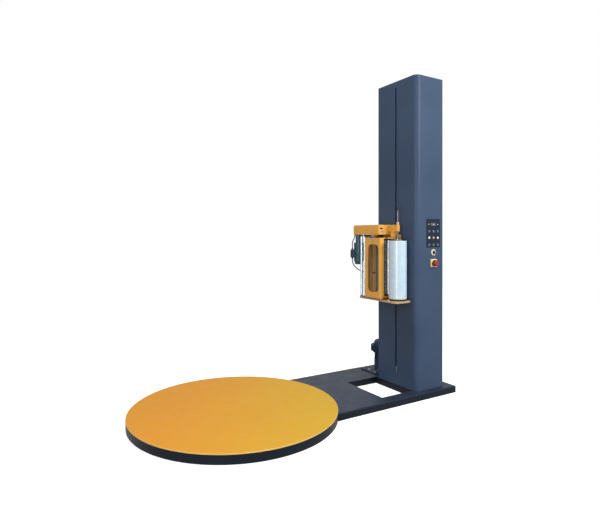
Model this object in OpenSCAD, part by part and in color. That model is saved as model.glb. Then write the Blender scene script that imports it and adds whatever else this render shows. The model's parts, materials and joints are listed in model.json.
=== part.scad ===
// Turntable pallet wrapper: a turning table in a low base, a mast, and a film carriage that climbs the mast.
// The origin is on the floor, on the turntable's axis. +X runs towards the mast, -Y is the operator's side.

/* [Turntable] */
// Diameter of the turntable plate
table_d = 1650; // [1500:10:1660]
// Height of the turntable's top above the floor
table_h = 76; // [74:1:95]
// Thickness of the turntable plate
table_t = 8; // [6:1:9]
// Thickness of the pan's floor plate
pan_t = 8; // [6:1:10]
// Thickness of the pan's rim
rim_t = 6; // [4:1:12]
// Gap between the rim and the plate above it
rim_gap = 4; // [3:1:6]
// Diameter of the circle on which the support rollers stand
roller_circle_d = 1280; // [1000:10:1340]
// Diameter of a support roller
roller_d = 44; // [36:1:46]
// Width of a support roller
roller_w = 26; // [20:1:40]
// Diameter of a support roller's axle
roller_axle_d = 12; // [8:1:16]
// Thickness of the track ring under the plate
track_t = 6; // [4:1:7]
// Diameter of the pivot post
pivot_d = 60; // [50:1:80]
// Number of ribs under the plate
rib_n = 8; // [6:1:12]

/* [Base] */
// Width of the base deck
base_w = 960; // [920:10:1100]
// Offset of the deck's centre line to the operator's side
base_shift = 37; // [20:1:60]
// Distance from the turntable's axis to the deck's rear end
base_end = 1983; // [1970:1:2200]
// Height of the deck's top
deck_h = 59; // [57:1:64]
// Thickness of the deck's sheet
deck_t = 5; // [4:1:7]
// Bevel along the deck's long edges
deck_bevel = 8; // [3:1:14]
// Distance from the turntable's axis to the cut-out
cut_x = 1187; // [1100:1:1250]
// Width of the cut-out
cut_w = 490; // [300:10:495]
// Distance from the deck's near edge to the cut-out
cut_inset = 107; // [80:1:110]
// Thickness of the walls round the cut-out
cut_wall = 4; // [3:1:6]

/* [Table drive] */
// Pitch of the drive chain
chain_pitch = 19.05; // [15.875, 19.05]
// Teeth on the turntable's sprocket
table_teeth = 45; // [40:1:46]
// Teeth on the motor's sprocket
drive_teeth = 15; // [13:1:18]
// Distance from the turntable's axis to the drive motor, along the base
drive_x = 1770; // [1750:1:1780]
// Distance from the turntable's axis to the drive motor, across the base
drive_y = 265; // [255:1:280]
// Height of the chain's middle above the floor
chain_z = 30; // [28:1:34]
// Diameter of the drive motor's output shaft
drive_shaft_d = 28; // [20:1:36]
// Diameter of the drive motor's fan cowl
drive_cowl_d = 150; // [140:2:170]
// Height of the drive motor's top above the floor
drive_top = 366; // [350:1:460]

/* [Mast] */
// Distance from the turntable's axis to the mast's slotted face
mast_x = 1542; // [1530:1:1560]
// Length of the mast along the base
mast_l = 338; // [320:1:380]
// Width of the mast across the base
mast_w = 511; // [490:1:540]
// Distance from the turntable's axis to the mast's control face
mast_near = 458; // [440:1:470]
// Height of the mast's top above the floor
mast_h = 2880; // [2600:10:3200]
// Thickness of the mast's sheet
mast_t = 3; // [2:0.5:4]
// Radius of the rounded corner beside the slotted face
mast_r = 50; // [30:1:70]
// Radius of the mast's other corners
bend_r = 10; // [6:1:20]
// Distance from the turntable's axis to the slot's middle
slot_y = 198; // [190:1:206]
// Width of the slot
slot_w = 25; // [22:1:34]
// Height of the slot's lower end
slot_low = 159; // [140:1:200]
// Height of the slot's stop plate above the slot's lower end
stop_h = 70; // [40:1:90]

/* [Lift] */
// Depth of a guide rail
rail_depth = 60; // [50:1:64]
// Width of a guide rail
rail_w = 36; // [34:1:40]
// Thickness of a guide rail's walls
rail_t = 6; // [4:1:7]
// Width between the guide rails' open sides
rail_span = 190; // [186:1:200]
// Width of a guide roller
guide_w = 24; // [18:1:26]
// Diameter of a guide roller's axle
guide_axle_d = 14; // [10:1:18]
// Diameter of the lift pulleys
pulley_d = 88; // [80:1:96]
// Width of the lift belt
belt_w = 30; // [20:1:40]
// Thickness of the lift belt
belt_t = 4; // [3:0.5:5]

/* [Carriage] */
// Height of the bottom plate's top at rest
plate_z = 863; // [850:1:880]
// Height of the bottom plate's lips
plate_lip = 14; // [12:1:20]
// Height of the gear housing's underside at rest
housing_z = 1455; // [1450:1:1480]
// Height of the gear housing
housing_h = 86; // [76:1:100]
// Distance from the mast's face to the front of the housing
housing_l = 232; // [228:1:240]
// Thickness of the carriage's sheets
sheet_t = 3; // [2:0.5:4]
// Diameter of the film roll
film_d = 164; // [110:1:168]
// Height of the film roll
film_h = 520; // [450:5:525]
// Outer diameter of the film's core
core_d = 76; // [60:1:80]
// Wall of the film's core
core_wall = 3; // [2:0.5:5]
// Diameter of the spindle pin
pin_d = 12; // [10:1:16]
// Diameter of the pre-stretch rollers
stretch_d = 64; // [50:1:70]
// Diameter of the chrome rollers
chrome_d = 24; // [20:1:30]
// Diameter of the rollers' journals
journal_d = 12; // [8:1:14]
// Module of the pre-stretch gears
gear_module = 3; // [2.8:0.1:3]
// Diameter of the pre-stretch motor
stretch_motor_d = 92; // [70:1:96]

/* [Roller door] */
// Width of the door
door_w = 200; // [170:1:204]
// Depth of the door's flanges
door_depth = 52; // [50:1:70]
// Height of the door's top below the housing
door_gap = 30; // [30:1:40]
// Width of the door's window
window_w = 144; // [80:1:150]
// Height of the door's window
window_h = 436; // [300:1:450]
// Radius of the window's corners
window_r = 45; // [20:1:55]
// Diameter of the door's hinge pin
hinge_d = 10; // [8:1:12]
// Diameter of the rubber press roller
press_d = 52; // [40:1:54]
// Diameter of the door's idler
idler_d = 28; // [20:1:30]

/* [Controls] */
// Width of the keypad plate
keypad_w = 170; // [160:1:190]
// Height of the keypad plate
keypad_h = 257; // [245:1:280]
// Thickness of the keypad plate
keypad_t = 4; // [4:0.5:6]
// Height of the keypad's middle above the floor
keypad_z = 1468; // [1440:1:1500]
// Diameter of a key
key_d = 22; // [16:1:26]
// How far a key stands proud
key_proud = 2.5; // [1.5:0.5:4]
// Travel of a key
key_travel = 1; // [0.5:0.1:1.5]
// Diameter of the selector's ring
selector_d = 56; // [44:1:60]
// Height of the selector's middle above the floor
selector_z = 1294; // [1280:1:1300]
// Width of the emergency stop's base
estop_w = 72; // [60:1:80]
// Diameter of the emergency stop's head
estop_d = 56; // [40:1:70]
// Height of the emergency stop's middle above the floor
estop_z = 1196; // [1170:1:1210]
// Travel of the emergency stop
estop_travel = 4; // [2:0.5:6]

/* [Fits] */
// Gap beside a turning shaft in its bore
shaft_gap = 0.05; // [0.02:0.01:0.1]
// Gap between parts that pass each other
run_gap = 0.3; // [0.3:0.1:0.6]

/* [Hidden] */
$fn = 72;
wide_fn = 360;
support_n = 4;
guide_n = 4;
key_cols = 3;
key_rows = 3;

// Colours as the photograph shows them
slate = [0.20, 0.24, 0.33];
slate_light = [0.27, 0.33, 0.45];
table_yellow = [0.96, 0.66, 0.13];
carriage_yellow = [0.86, 0.60, 0.17];
teal = [0.13, 0.32, 0.38];
black = [0.09, 0.09, 0.10];
rubber = [0.17, 0.18, 0.21];
steel = [0.66, 0.68, 0.70];
chrome = [0.82, 0.85, 0.88];
film_blue = [0.76, 0.86, 0.93];
board = [0.66, 0.52, 0.36];
cream = [0.88, 0.85, 0.70];
signal_yellow = [0.95, 0.75, 0.15];
signal_red = [0.75, 0.12, 0.10];

// Turntable and its support
table_r = table_d / 2;
rim_r = table_r - 1;
plate_low = table_h - table_t;
track_low = plate_low - track_t;
track_w = roller_w + 24;
roller_circle_r = roller_circle_d / 2;
roller_axis_z = track_low - run_gap - roller_d / 2;
bracket_t = 6;
bracket_side_gap = 1;
bracket_w = roller_w + 2 * (bracket_t + bracket_side_gap);
bracket_l = 70;
hub_d = pivot_d + 60;
hub_flange_d = hub_d + 80;
hub_flange_t = 12;
pivot_flange_d = pivot_d + 120;
pivot_flange_t = 8;
foot_inset = 12;
seam = 2;
hub_low = pan_t + pivot_flange_t + run_gap;
rib_h = 12;
rib_t = 8;

// Chain loop between the two sprockets
table_pitch_r = chain_pitch / (2 * sin(180 / table_teeth));
drive_pitch_r = chain_pitch / (2 * sin(180 / drive_teeth));
chain_span = norm([drive_x, drive_y]);
chain_angle = atan2(drive_y, drive_x);
chain_half = 9;
link_t = 3;
link_gap = 0.4;
tooth_t = 13.2;
chain_pin_d = 10;
chain_pin_step = 3 * chain_pitch;
chain_pin_clear = 100;
row_gap = 0.3;
passage_half = table_pitch_r + 24;
passage_z = [chain_z - 16, chain_z + 16];

// Deck
deck_y = [-base_shift - base_w / 2, -base_shift + base_w / 2];
deck_gap = 0.3;
deck_start_r = rim_r + deck_gap;
cut_y = [deck_y[0] + cut_inset, deck_y[0] + cut_inset + cut_w];
cut_xs = [cut_x, mast_x - cut_wall];
shaft_hole_d = drive_shaft_d + 24;

// Drive motor and its mounting plate
mount_x = [drive_x - 180, drive_x + 180];
mount_y = [drive_y - 115, drive_y + 120];
mount_t = 10;
mount_r = 16;
mount_top = deck_h + mount_t;
bolt_d = 16;
bolt_head_h = 10;
bolt_inset = 22;

// Mast
mast_xs = [mast_x, mast_x + mast_l];
mast_ys = [-mast_near, -mast_near + mast_w];
cap_t = 6;
cap_low = mast_h - cap_t;
slot_high = mast_h - 63;
foot_w = 40;
foot_t = 5;
panel_margin = 30;
panel_lap = 12;
panel_t = 3;
panel_foot = 110;
panel_head = 180;
panel_z = [deck_h + panel_foot, mast_h - panel_head];
wall_x = mast_x + mast_t;

// Guide rails, trolley and lift
lift_y = -slot_y;
rail_low = deck_h + foot_t + 40;
rail_high = mast_h - 90;
guide_d = rail_depth - 2 * rail_t - 2 * run_gap;
guide_x = wall_x + rail_depth / 2;
trolley_t = 24;
trolley_w = rail_span - 30;
trolley_h = 340;
trolley_rise = 15;
trolley_z = [housing_z + trolley_rise - trolley_h, housing_z + trolley_rise];
guide_z = [trolley_z[0] + 40, trolley_z[1] - 40];
guide_side_gap = 4;
neck_w = slot_w - 9;
neck_z = [trolley_z[0] + 50, trolley_z[1] - 50];
belt_x = guide_x + trolley_t / 2 + 25;
pulley_r = pulley_d / 2;
belt_in_r = pulley_r + run_gap;
belt_out_r = belt_in_r + belt_t;
pulley_x = belt_x + belt_out_r;
pulley_low_z = 220;
pulley_high_z = mast_h - 90;
pulley_w = belt_w + 8;
flange_d = pulley_d + 2 * belt_t + 6;
flange_t = 3;
pulley_shaft_d = 24;
pulley_pin_d = 16;
ear_t = 6;
gearbox_y = lift_y + pulley_w / 2 + 2;
gearbox_w = 80;
gearbox_l = 105;

// Carriage, measured at its rest height
housing_xs = [mast_x - housing_l, mast_x - 8];
housing_ys = [-221, 140];
housing_top = housing_z + housing_h;
gear_plate_t = 6;
back_t = 6;
back_xs = [mast_x - 12 - back_t, mast_x - 12];
back_ys = [-280, housing_ys[1]];
cable_end_y = 26;
plate_xs = [mast_x - 211, mast_x - 12];
plate_ys = [-420, 80];
plate_r = 40;
plate_low_z = plate_z - plate_lip;
boss_wall = 7;

// Film roll and its spindle
roll_x = mast_x - 97;
roll_y = -325;
stub_d = 20;
holder_t = 12;
holder_low = plate_z + run_gap;
holder_d = film_d - 16;
core_low = holder_low + holder_t;
core_in_d = core_d - 2 * core_wall;
film_low = core_low + 4;
core_h = film_h + 8;
core_top = core_low + core_h;
holder_plug_h = 30;
arm_w = 36;
arm_h = 58;
arm_boss_h = 14;
pin_travel = 50;
pin_boss_wall = 12;
pin_plug_h = 16;
pin_flange_t = 8;
pin_stop_gap = 2;
pin_collar_h = housing_top - arm_h - pin_stop_gap - pin_travel - pin_flange_t - core_top;
pin_top = housing_top + 170;
pin_knob_h = 42;
pin_knob_d = 18;

// Pre-stretch gear train in the housing
motor_x = mast_x - 197;
motor_y = 106;
pinion_teeth = 16;
gear_a_teeth = 50;
gear_b_teeth = 25;
train_a_angle = -38;
train_b_angle = -75;
centre_a = gear_module * (pinion_teeth + gear_a_teeth) / 2;
centre_b = gear_module * (gear_a_teeth + gear_b_teeth) / 2;
stretch_a = [motor_x + centre_a * cos(train_a_angle), motor_y + centre_a * sin(train_a_angle)];
stretch_b = stretch_a + [centre_b * cos(train_b_angle), centre_b * sin(train_b_angle)];
pinion_turn = train_a_angle;
gear_a_turn = train_a_angle + 180 + 180 / gear_a_teeth;
gear_b_turn = train_b_angle + 180 - gear_a_teeth / gear_b_teeth * (gear_a_turn - train_b_angle)
    + 180 / gear_b_teeth;
gear_low = housing_z + gear_plate_t + 20;
gear_t = 16;
shaft_top = gear_low + gear_t + 6;
roller_end_gap = 2;
journal_r = journal_d / 2;
bore_r = journal_r + shaft_gap;

// Chrome rollers at the carriage's far end
exit_at = [mast_x - 212, 43];
guide_at = [mast_x - 212, -4];

// Pre-stretch motor, its terminal box and its cables
motor_flange_d = 68;
motor_flange_t = 10;
motor_low = housing_z - 285;
motor_cap_h = 36;
box_angle = 135;
box_z = [housing_z - 220, housing_z - 145];
box_w = 48;
box_out = 74;
cable_d = 9;
box_mid_r = 61;
box_mid = [motor_x + box_mid_r * cos(box_angle), motor_y + box_mid_r * sin(box_angle)];
gland_r = 8;
gland_h = 10;
cable_up = [
    [box_mid[0], box_mid[1], box_z[1] + gland_h],
    [box_mid[0], box_mid[1], box_z[1] + gland_h + 9],
    [box_mid[0], box_mid[1], box_z[1] + gland_h + 18],
    [box_mid[0] - 2, box_mid[1] - 2, box_z[1] + 62],
    [box_mid[0] + 6, box_mid[1] - 8, box_z[1] + 95],
    [box_mid[0] + 15, box_mid[1] - 17, housing_z - 24],
    [box_mid[0] + 15, box_mid[1] - 17, housing_z - 12],
    [box_mid[0] + 15, box_mid[1] - 17, housing_z]
];
cable_down = [
    [box_mid[0], box_mid[1], box_z[0] - gland_h],
    [box_mid[0], box_mid[1], box_z[0] - gland_h - 9],
    [box_mid[0], box_mid[1], box_z[0] - gland_h - 18],
    [box_mid[0] + 3, box_mid[1] - 2, box_z[0] - 50],
    [box_mid[0] + 14, box_mid[1] - 9, box_z[0] - 78],
    [box_mid[0] + 38, box_mid[1] - 26, box_z[0] - 108],
    [box_mid[0] + 70, box_mid[1] - 44, box_z[0] - 130],
    [box_mid[0] + 125, box_mid[1] - 42, box_z[0] - 145],
    [box_mid[0] + 170, box_mid[1] - 66, box_z[0] - 150],
    [back_xs[0] - 20, cable_end_y, box_z[0] - 150],
    [back_xs[0] - 10, cable_end_y, box_z[0] - 150],
    [back_xs[0], cable_end_y, box_z[0] - 150]
];

// Roller door at rest
door_x = housing_xs[0];
door_ys = [-235, -235 + door_w];
door_zs = [plate_z + 14, housing_z - door_gap];
door_end_t = 6;
window_near = 16;
window_ys = [door_ys[0] + window_near, door_ys[0] + window_near + window_w];
window_mid = (door_zs[0] + door_zs[1]) / 2 - 4;
hinge_x = door_x + 12;
hinge_z = plate_z + 12;
ear_r = 9;
hinge_ear_t = 6;
press_at = [mast_x - 132, -183];
idler_at = [mast_x - 112, -221];
end_low = [door_zs[0] + 9, door_zs[0] + 9 + door_end_t];
end_high = [door_zs[1] - door_end_t, door_zs[1]];
catch_gap = 15;
catch_l = 28;
catch_w = 44;
catch_y = (door_ys[0] + door_ys[1]) / 2;

// Controls on the mast's near face
face_y = -mast_near;
panel_x = mast_x + 210;
key_step_x = 55;
key_row_z = [keypad_z + 16, keypad_z - 42, keypad_z - 106];
display_w = 66;
display_h = 26;
display_z = keypad_z + 79;
display_deep = 1.5;
selector_t = 8;
selector_hole_d = 30;
selector_proud = 14;
estop_base_t = 12;
estop_stem_d = 32;
estop_proud = 44;
estop_head_t = 25;

// Vertical rod between two heights
module rod(d, low, high) {
    translate([0, 0, low])
        cylinder(d = d, h = high - low);
}

// Rod along Y between two places
module rod_y(d, from, to) {
    translate([0, from, 0])
        rotate([-90, 0, 0])
            cylinder(d = d, h = to - from);
}

// Block between two corners, given as a range on each axis
module block(xs, ys, zs) {
    translate([xs[0], ys[0], zs[0]])
        cube([xs[1] - xs[0], ys[1] - ys[0], zs[1] - zs[0]]);
}

// Upright wall of a flat outline between two heights
module rise(low, high) {
    translate([0, 0, low])
        linear_extrude(high - low)
            children();
}

// What a rounded corner leaves of a square corner
module corner_notch(r) {
    difference() {
        translate([-1, -1])
            square(r + 1);
        translate([r, r])
            circle(r);
    }
}

// Rectangle with a radius for each corner, counted anticlockwise from the lowest
module rounded_rect(xs, ys, radii) {
    difference() {
        translate([xs[0], ys[0]])
            square([xs[1] - xs[0], ys[1] - ys[0]]);
        translate([xs[0], ys[0]])
            corner_notch(radii[0]);
        translate([xs[1], ys[0]])
            mirror([1, 0])
                corner_notch(radii[1]);
        translate([xs[1], ys[1]])
            rotate(180)
                corner_notch(radii[2]);
        translate([xs[0], ys[1]])
            mirror([0, 1])
                corner_notch(radii[3]);
    }
}

function polar(r, a) = [r * cos(a), r * sin(a)];
function around(middle, width) = [middle - width / 2, middle + width / 2];
function even(r) = [r, r, r, r];
function unit(v) = v / norm(v);

// Outline of a toothed wheel whose first tooth points along +X
function toothed(teeth, root_r, tip_r, root_share, tip_share) = [
    for (i = [0 : teeth - 1])
        let (step = 360 / teeth, a = i * step)
            each [
                polar(root_r, a - step * root_share / 2),
                polar(tip_r, a - step * tip_share / 2),
                polar(tip_r, a + step * tip_share / 2),
                polar(root_r, a + step * root_share / 2)
            ]
];

// Spur gear with straight-sided teeth
module gear(teeth) {
    pitch_r = gear_module * teeth / 2;
    polygon(toothed(teeth, pitch_r - 1.25 * gear_module, pitch_r + gear_module, 0.54, 0.22));
}

// Chain sprocket with pointed teeth
module sprocket(teeth, pitch_r) {
    polygon(toothed(teeth, pitch_r - 6, pitch_r + 5, 0.62, 0.2));
}

// Area inside a loop that runs round two circles, the second one at a distance along +X
module loop_area(r1, r2, span) {
    lean = (r1 - r2) / span;
    up = sqrt(1 - lean * lean);
    circle(r1);
    translate([span, 0])
        circle(r2);
    polygon([
        [r1 * lean, r1 * up],
        [span + r2 * lean, r2 * up],
        [span + r2 * lean, -r2 * up],
        [r1 * lean, -r1 * up]
    ]);
}

// Flat band round two circles
module loop_band(r1, r2, span, inside, outside) {
    difference() {
        loop_area(r1 + outside, r2 + outside, span);
        loop_area(r1 + inside, r2 + inside, span);
    }
}

// Smooth path through hand-chosen points
function curve_at(a, b, c, d, t) =
    0.5 * (2 * b + (c - a) * t + (2 * a - 5 * b + 4 * c - d) * t * t + (3 * b - a - 3 * c + d) * t * t * t);
function smooth(p, steps) = [
    for (i = [0 : len(p) - 2])
        for (s = [0 : steps - 1])
            curve_at(p[max(i - 1, 0)], p[i], p[i + 1], p[min(i + 2, len(p) - 1)], s / steps),
    p[len(p) - 1]
];
function heading(path, i) = unit(path[min(i + 1, len(path) - 1)] - path[max(i - 1, 0)]);
function ring(c, t, r, sides) =
    let (u = unit(cross(t, [0.6, -0.8, 0.1])), v = cross(t, u))
        [for (k = [0 : sides - 1]) c + r * (cos(360 * k / sides) * u + sin(360 * k / sides) * v)];

// Round tube along a path
module tube(path, d, sides) {
    n = len(path);
    points = [for (i = [0 : n - 1]) each ring(path[i], heading(path, i), d / 2, sides)];
    sides_faces = [
        for (i = [0 : n - 2])
            for (k = [0 : sides - 1])
                let (a = i * sides + k, b = i * sides + (k + 1) % sides)
                    each [[a, b, a + sides], [b, b + sides, a + sides]]
    ];
    start_face = [for (k = [sides - 1 : -1 : 0]) k];
    end_face = [for (k = [0 : sides - 1]) (n - 1) * sides + k];
    polyhedron(points, concat([start_face, end_face], sides_faces));
}

// Place for the chain to pass through the rim and the deck's end wall
module chain_passage() {
    rotate([0, 0, chain_angle])
        block([table_r - 90, table_r + 120], [-passage_half, passage_half], passage_z);
}

// Round pan with a low rim that holds the turntable's support
module base_pan() {
    color(slate) {
        rod(2 * (rim_r - foot_inset), 0, pan_t);
        difference() {
            rod(2 * rim_r, pan_t - seam, plate_low - rim_gap);
            rod(2 * (rim_r - rim_t), 0, table_h);
            chain_passage();
        }
        difference() {
            rod(2 * (rim_r - seam), pan_t - 2 * seam, pan_t);
            rod(2 * (rim_r - foot_inset - seam), 0, pan_t + 1);
        }
    }
}

// Deck outline between the rim and the rear end, set in from its edges
module deck_outline(inset) {
    difference() {
        translate([0, deck_y[0] + inset])
            square([base_end - inset, base_w - 2 * inset]);
        circle(deck_start_r + inset, $fn = wide_fn);
    }
}

// Folded deck that joins the pan and carries the mast
module deck() {
    bevel = deck_bevel * sqrt(2);
    color(slate)
        difference() {
            rise(0, deck_h)
                deck_outline(0);
            difference() {
                rise(-1, deck_h - deck_t)
                    deck_outline(deck_t);
                block(cut_xs + [-cut_wall, cut_wall], cut_y + [-cut_wall, cut_wall], [-2, deck_h]);
            }
            block(cut_xs, cut_y, [-2, deck_h + 1]);
            for (y = deck_y)
                translate([-1, y, deck_h])
                    rotate([45, 0, 0])
                        translate([0, -bevel / 2, -bevel / 2])
                            cube([base_end + 2, bevel, bevel]);
            translate([drive_x, drive_y])
                rod(shaft_hole_d, 0, deck_h + 1);
            chain_passage();
        }
}

// Post on which the turntable's hub turns
module pivot_post() {
    color(steel) {
        rod(pivot_flange_d, pan_t, pan_t + pivot_flange_t);
        rod(pivot_d, pan_t, plate_low - 8);
    }
}

// Forked brackets with the support rollers' axles
module roller_brackets() {
    color(steel)
        for (i = [1 : support_n])
            rotate([0, 0, 360 * (i - 0.5) / support_n])
                translate([roller_circle_r, 0]) {
                    block(around(0, bracket_w), around(0, bracket_l), [pan_t, pan_t + 5]);
                    for (side = [-1, 1])
                        translate([side * (bracket_w - bracket_t) / 2, 0]) {
                            block([-bracket_t / 2, bracket_t / 2], [-15, 15], [pan_t, roller_axis_z]);
                            translate([-bracket_t / 2, 0, roller_axis_z])
                                rotate([0, 90, 0])
                                    cylinder(d = 20, h = bracket_t);
                        }
                    translate([-bracket_w / 2, 0, roller_axis_z])
                        rotate([0, 90, 0])
                            cylinder(d = roller_axle_d, h = bracket_w);
                }
}

// One support roller, lying along the turntable's radius
module support_roller(i) {
    color(rubber)
        rotate([0, 0, 360 * (i - 0.5) / support_n])
            translate([roller_circle_r - roller_w / 2, 0, roller_axis_z])
                rotate([0, 90, 0])
                    difference() {
                        cylinder(d = roller_d, h = roller_w);
                        translate([0, 0, -1])
                            cylinder(d = roller_axle_d + 2 * shaft_gap, h = roller_w + 2);
                    }
}

// Turntable plate with its roller track and ribs
module turntable_plate() {
    color(table_yellow) {
        difference() {
            rod(table_d, plate_low, table_h);
            difference() {
                rod(table_d + 2, table_h - 2, table_h + 1);
                translate([0, 0, table_h - 2])
                    cylinder(r1 = table_r, r2 = table_r - 2, h = 2);
                rod(table_d - 4, table_h - 3, table_h);
            }
        }
        difference() {
            rod(2 * roller_circle_r + track_w, track_low, plate_low + 0.01);
            rod(2 * roller_circle_r - track_w, track_low - 1, plate_low + 1);
        }
        for (i = [0 : rib_n - 1])
            rotate([0, 0, 360 * i / rib_n])
                block([hub_flange_d / 2 + 4, roller_circle_r - track_w / 2 + 2], [-rib_t / 2, rib_t / 2],
                    [plate_low - rib_h, plate_low + 0.01]);
    }
}

// Hub under the turntable with its chain sprocket
module table_sprocket() {
    color(steel)
        difference() {
            union() {
                rod(hub_d, hub_low, plate_low);
                rod(hub_flange_d, plate_low - hub_flange_t, plate_low);
                rise(chain_z - tooth_t / 2, chain_z + tooth_t / 2)
                    rotate(chain_angle)
                        sprocket(table_teeth, table_pitch_r);
            }
            rod(pivot_d + 2 * shaft_gap, 0, plate_low - 6);
        }
}

// Motor sprocket on its shaft
module drive_sprocket() {
    color(steel)
        translate([drive_x, drive_y]) {
            rod(drive_shaft_d, chain_z - 14, mount_top + 60);
            rise(chain_z - tooth_t / 2, chain_z + tooth_t / 2)
                rotate(chain_angle)
                    sprocket(drive_teeth, drive_pitch_r);
        }
}

// Chain as rows of link plates: bent rows round the sprockets, and straight rows joined by pins
module drive_chain() {
    lean = (table_pitch_r - drive_pitch_r) / chain_span;
    wrap = acos(lean);
    run = chain_span * sin(wrap);
    pins = floor((run - 2 * chain_pin_clear) / chain_pin_step);
    low = chain_z - tooth_t / 2 - link_gap - link_t;
    high = chain_z + tooth_t / 2 + link_gap;
    color(steel)
        rotate([0, 0, chain_angle]) {
            for (z = [low, high]) {
                link_row(table_pitch_r, wrap, 360 - wrap, z);
                translate([chain_span, 0])
                    link_row(drive_pitch_r, -wrap, wrap, z);
            }
            for (side = [0, 1])
                mirror([0, side, 0])
                    rotate([0, 0, wrap - 90])
                        translate([0, table_pitch_r]) {
                            for (z = [low, high])
                                block([row_gap, run - row_gap], [-chain_half, chain_half], [z, z + link_t]);
                            for (i = [0 : pins])
                                translate([chain_pin_clear + i * chain_pin_step, 0])
                                    rod(chain_pin_d, low - 1, high + link_t + 1);
                        }
        }
}

// Bent row of link plates round a sprocket
module link_row(r, from, to, z) {
    translate([0, 0, z])
        rotate([0, 0, from])
            rotate_extrude(angle = to - from)
                translate([r - chain_half, 0])
                    square([2 * chain_half, link_t]);
}

// Drive gearmotor on its mounting plate, standing on the deck
module gearmotor() {
    gearbox_d = drive_cowl_d - 4;
    gearbox_h = 84;
    cowl_h = 66;
    box_drop = 83;
    gearbox_top = mount_top + gearbox_h;
    cowl_low = drive_top - cowl_h;
    dome_r = 30;
    fin_n = 20;
    fin_d = drive_cowl_d - 10;
    box_mid_z = drive_top - box_drop;
    box_reach = drive_cowl_d / 2 + 26;
    box_half_w = 40;
    box_half_h = 44;
    color(slate)
        difference() {
            union() {
                rise(deck_h, mount_top)
                    rounded_rect(mount_x, mount_y, even(mount_r));
                translate([drive_x, drive_y]) {
                    rod(gearbox_d, mount_top, gearbox_top);
                    rod(gearbox_d + 8, mount_top, mount_top + 14);
                    rod(gearbox_d, gearbox_top + 8, gearbox_top + 18);
                    rod(fin_d - 24, gearbox_top, cowl_low);
                    rise(gearbox_top + 18, cowl_low)
                        for (i = [0 : fin_n - 1])
                            rotate(360 * i / fin_n)
                                translate([0, -2])
                                    square([fin_d / 2, 4]);
                    translate([0, 0, cowl_low])
                        rotate_extrude() {
                            square([drive_cowl_d / 2, drive_top - cowl_low - dome_r]);
                            square([drive_cowl_d / 2 - dome_r, drive_top - cowl_low]);
                            translate([drive_cowl_d / 2 - dome_r, drive_top - cowl_low - dome_r])
                                circle(dome_r);
                        }
                    rotate([0, 0, 150])
                        translate([0, box_half_w, box_mid_z])
                            rotate([90, 0, 0])
                                linear_extrude(2 * box_half_w)
                                    rounded_rect([50, box_reach], [-box_half_h, box_half_h], [6, 30, 30, 6]);
                }
            }
            translate([drive_x, drive_y])
                rod(drive_shaft_d + 2 * shaft_gap, 0, mount_top + 62);
        }
}

// Bolts that hold the drive motor's plate to the deck
module floor_bolts() {
    color(steel)
        for (x = [mount_x[0] + bolt_inset, mount_x[1] - bolt_inset])
            for (y = [mount_y[0] + bolt_inset, (mount_y[0] + mount_y[1]) / 2, mount_y[1] - bolt_inset])
                translate([x, y]) {
                    rod(bolt_d * 1.9, mount_top, mount_top + 3);
                    translate([0, 0, mount_top + 3])
                        cylinder(d = bolt_d * 1.7, h = bolt_head_h, $fn = 6);
                }
}

// Mast outline, set in from its faces
module mast_outline(inset) {
    rounded_rect(mast_xs + [inset, -inset], mast_ys + [inset, -inset],
        [mast_r - inset, bend_r - inset, bend_r - inset, bend_r - inset]);
}

// Folded mast with the carriage's slot and an opening for service
module mast_shell() {
    color(slate_light)
        difference() {
            union() {
                difference() {
                    rise(deck_h, cap_low)
                        mast_outline(0);
                    rise(deck_h - 1, cap_low + 1)
                        mast_outline(mast_t);
                }
                difference() {
                    rise(deck_h, deck_h + foot_t)
                        mast_outline(mast_t / 2);
                    block(mast_xs + [foot_w, -foot_w], mast_ys + [foot_w, -foot_w], [deck_h - 1, deck_h + 10]);
                }
            }
            block([mast_x - 1, wall_x + 1], around(lift_y, slot_w), [slot_low, slot_high]);
            block([mast_xs[1] - mast_t - 1, mast_xs[1] + 1], mast_ys + [panel_margin, -panel_margin], panel_z);
        }
}

// Cap with the top pulley's bracket and pin under it
module mast_cap() {
    ear_half = pulley_w / 2 + 1;
    color(slate_light)
        rise(cap_low, mast_h)
            mast_outline(0);
    color(steel) {
        for (y = [lift_y - ear_half - ear_t, lift_y + ear_half])
            block([pulley_x - 20, pulley_x + 20], [y, y + ear_t], [pulley_high_z - 20, cap_low + 0.01]);
        translate([pulley_x, 0, pulley_high_z])
            rod_y(pulley_pin_d, lift_y - ear_half - ear_t, lift_y + ear_half + ear_t);
    }
}

// Service panel on the mast's rear face
module mast_rear_panel() {
    lap = panel_margin - panel_lap;
    color(slate_light)
        translate([mast_xs[1], 0, 0])
            rotate([90, 0, 90])
                linear_extrude(panel_t)
                    rounded_rect(mast_ys + [lap, -lap], panel_z + [-panel_lap, panel_lap], even(8));
}

// Two channel rails inside the mast, with the stop plate behind the slot's lower end
module guide_rails() {
    color(steel) {
        for (side = [0, 1])
            translate([0, lift_y])
                mirror([0, side, 0])
                    difference() {
                        block([wall_x, wall_x + rail_depth], [rail_span / 2, rail_span / 2 + rail_w],
                            [rail_low, rail_high]);
                        block([wall_x + rail_t, wall_x + rail_depth - rail_t],
                            [rail_span / 2 - 1, rail_span / 2 + rail_w - rail_t], [rail_low - 1, rail_high + 1]);
                    }
        block([wall_x, wall_x + rail_t], around(lift_y, rail_span + 2), [slot_low - 20, slot_low + stop_h]);
    }
}

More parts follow.
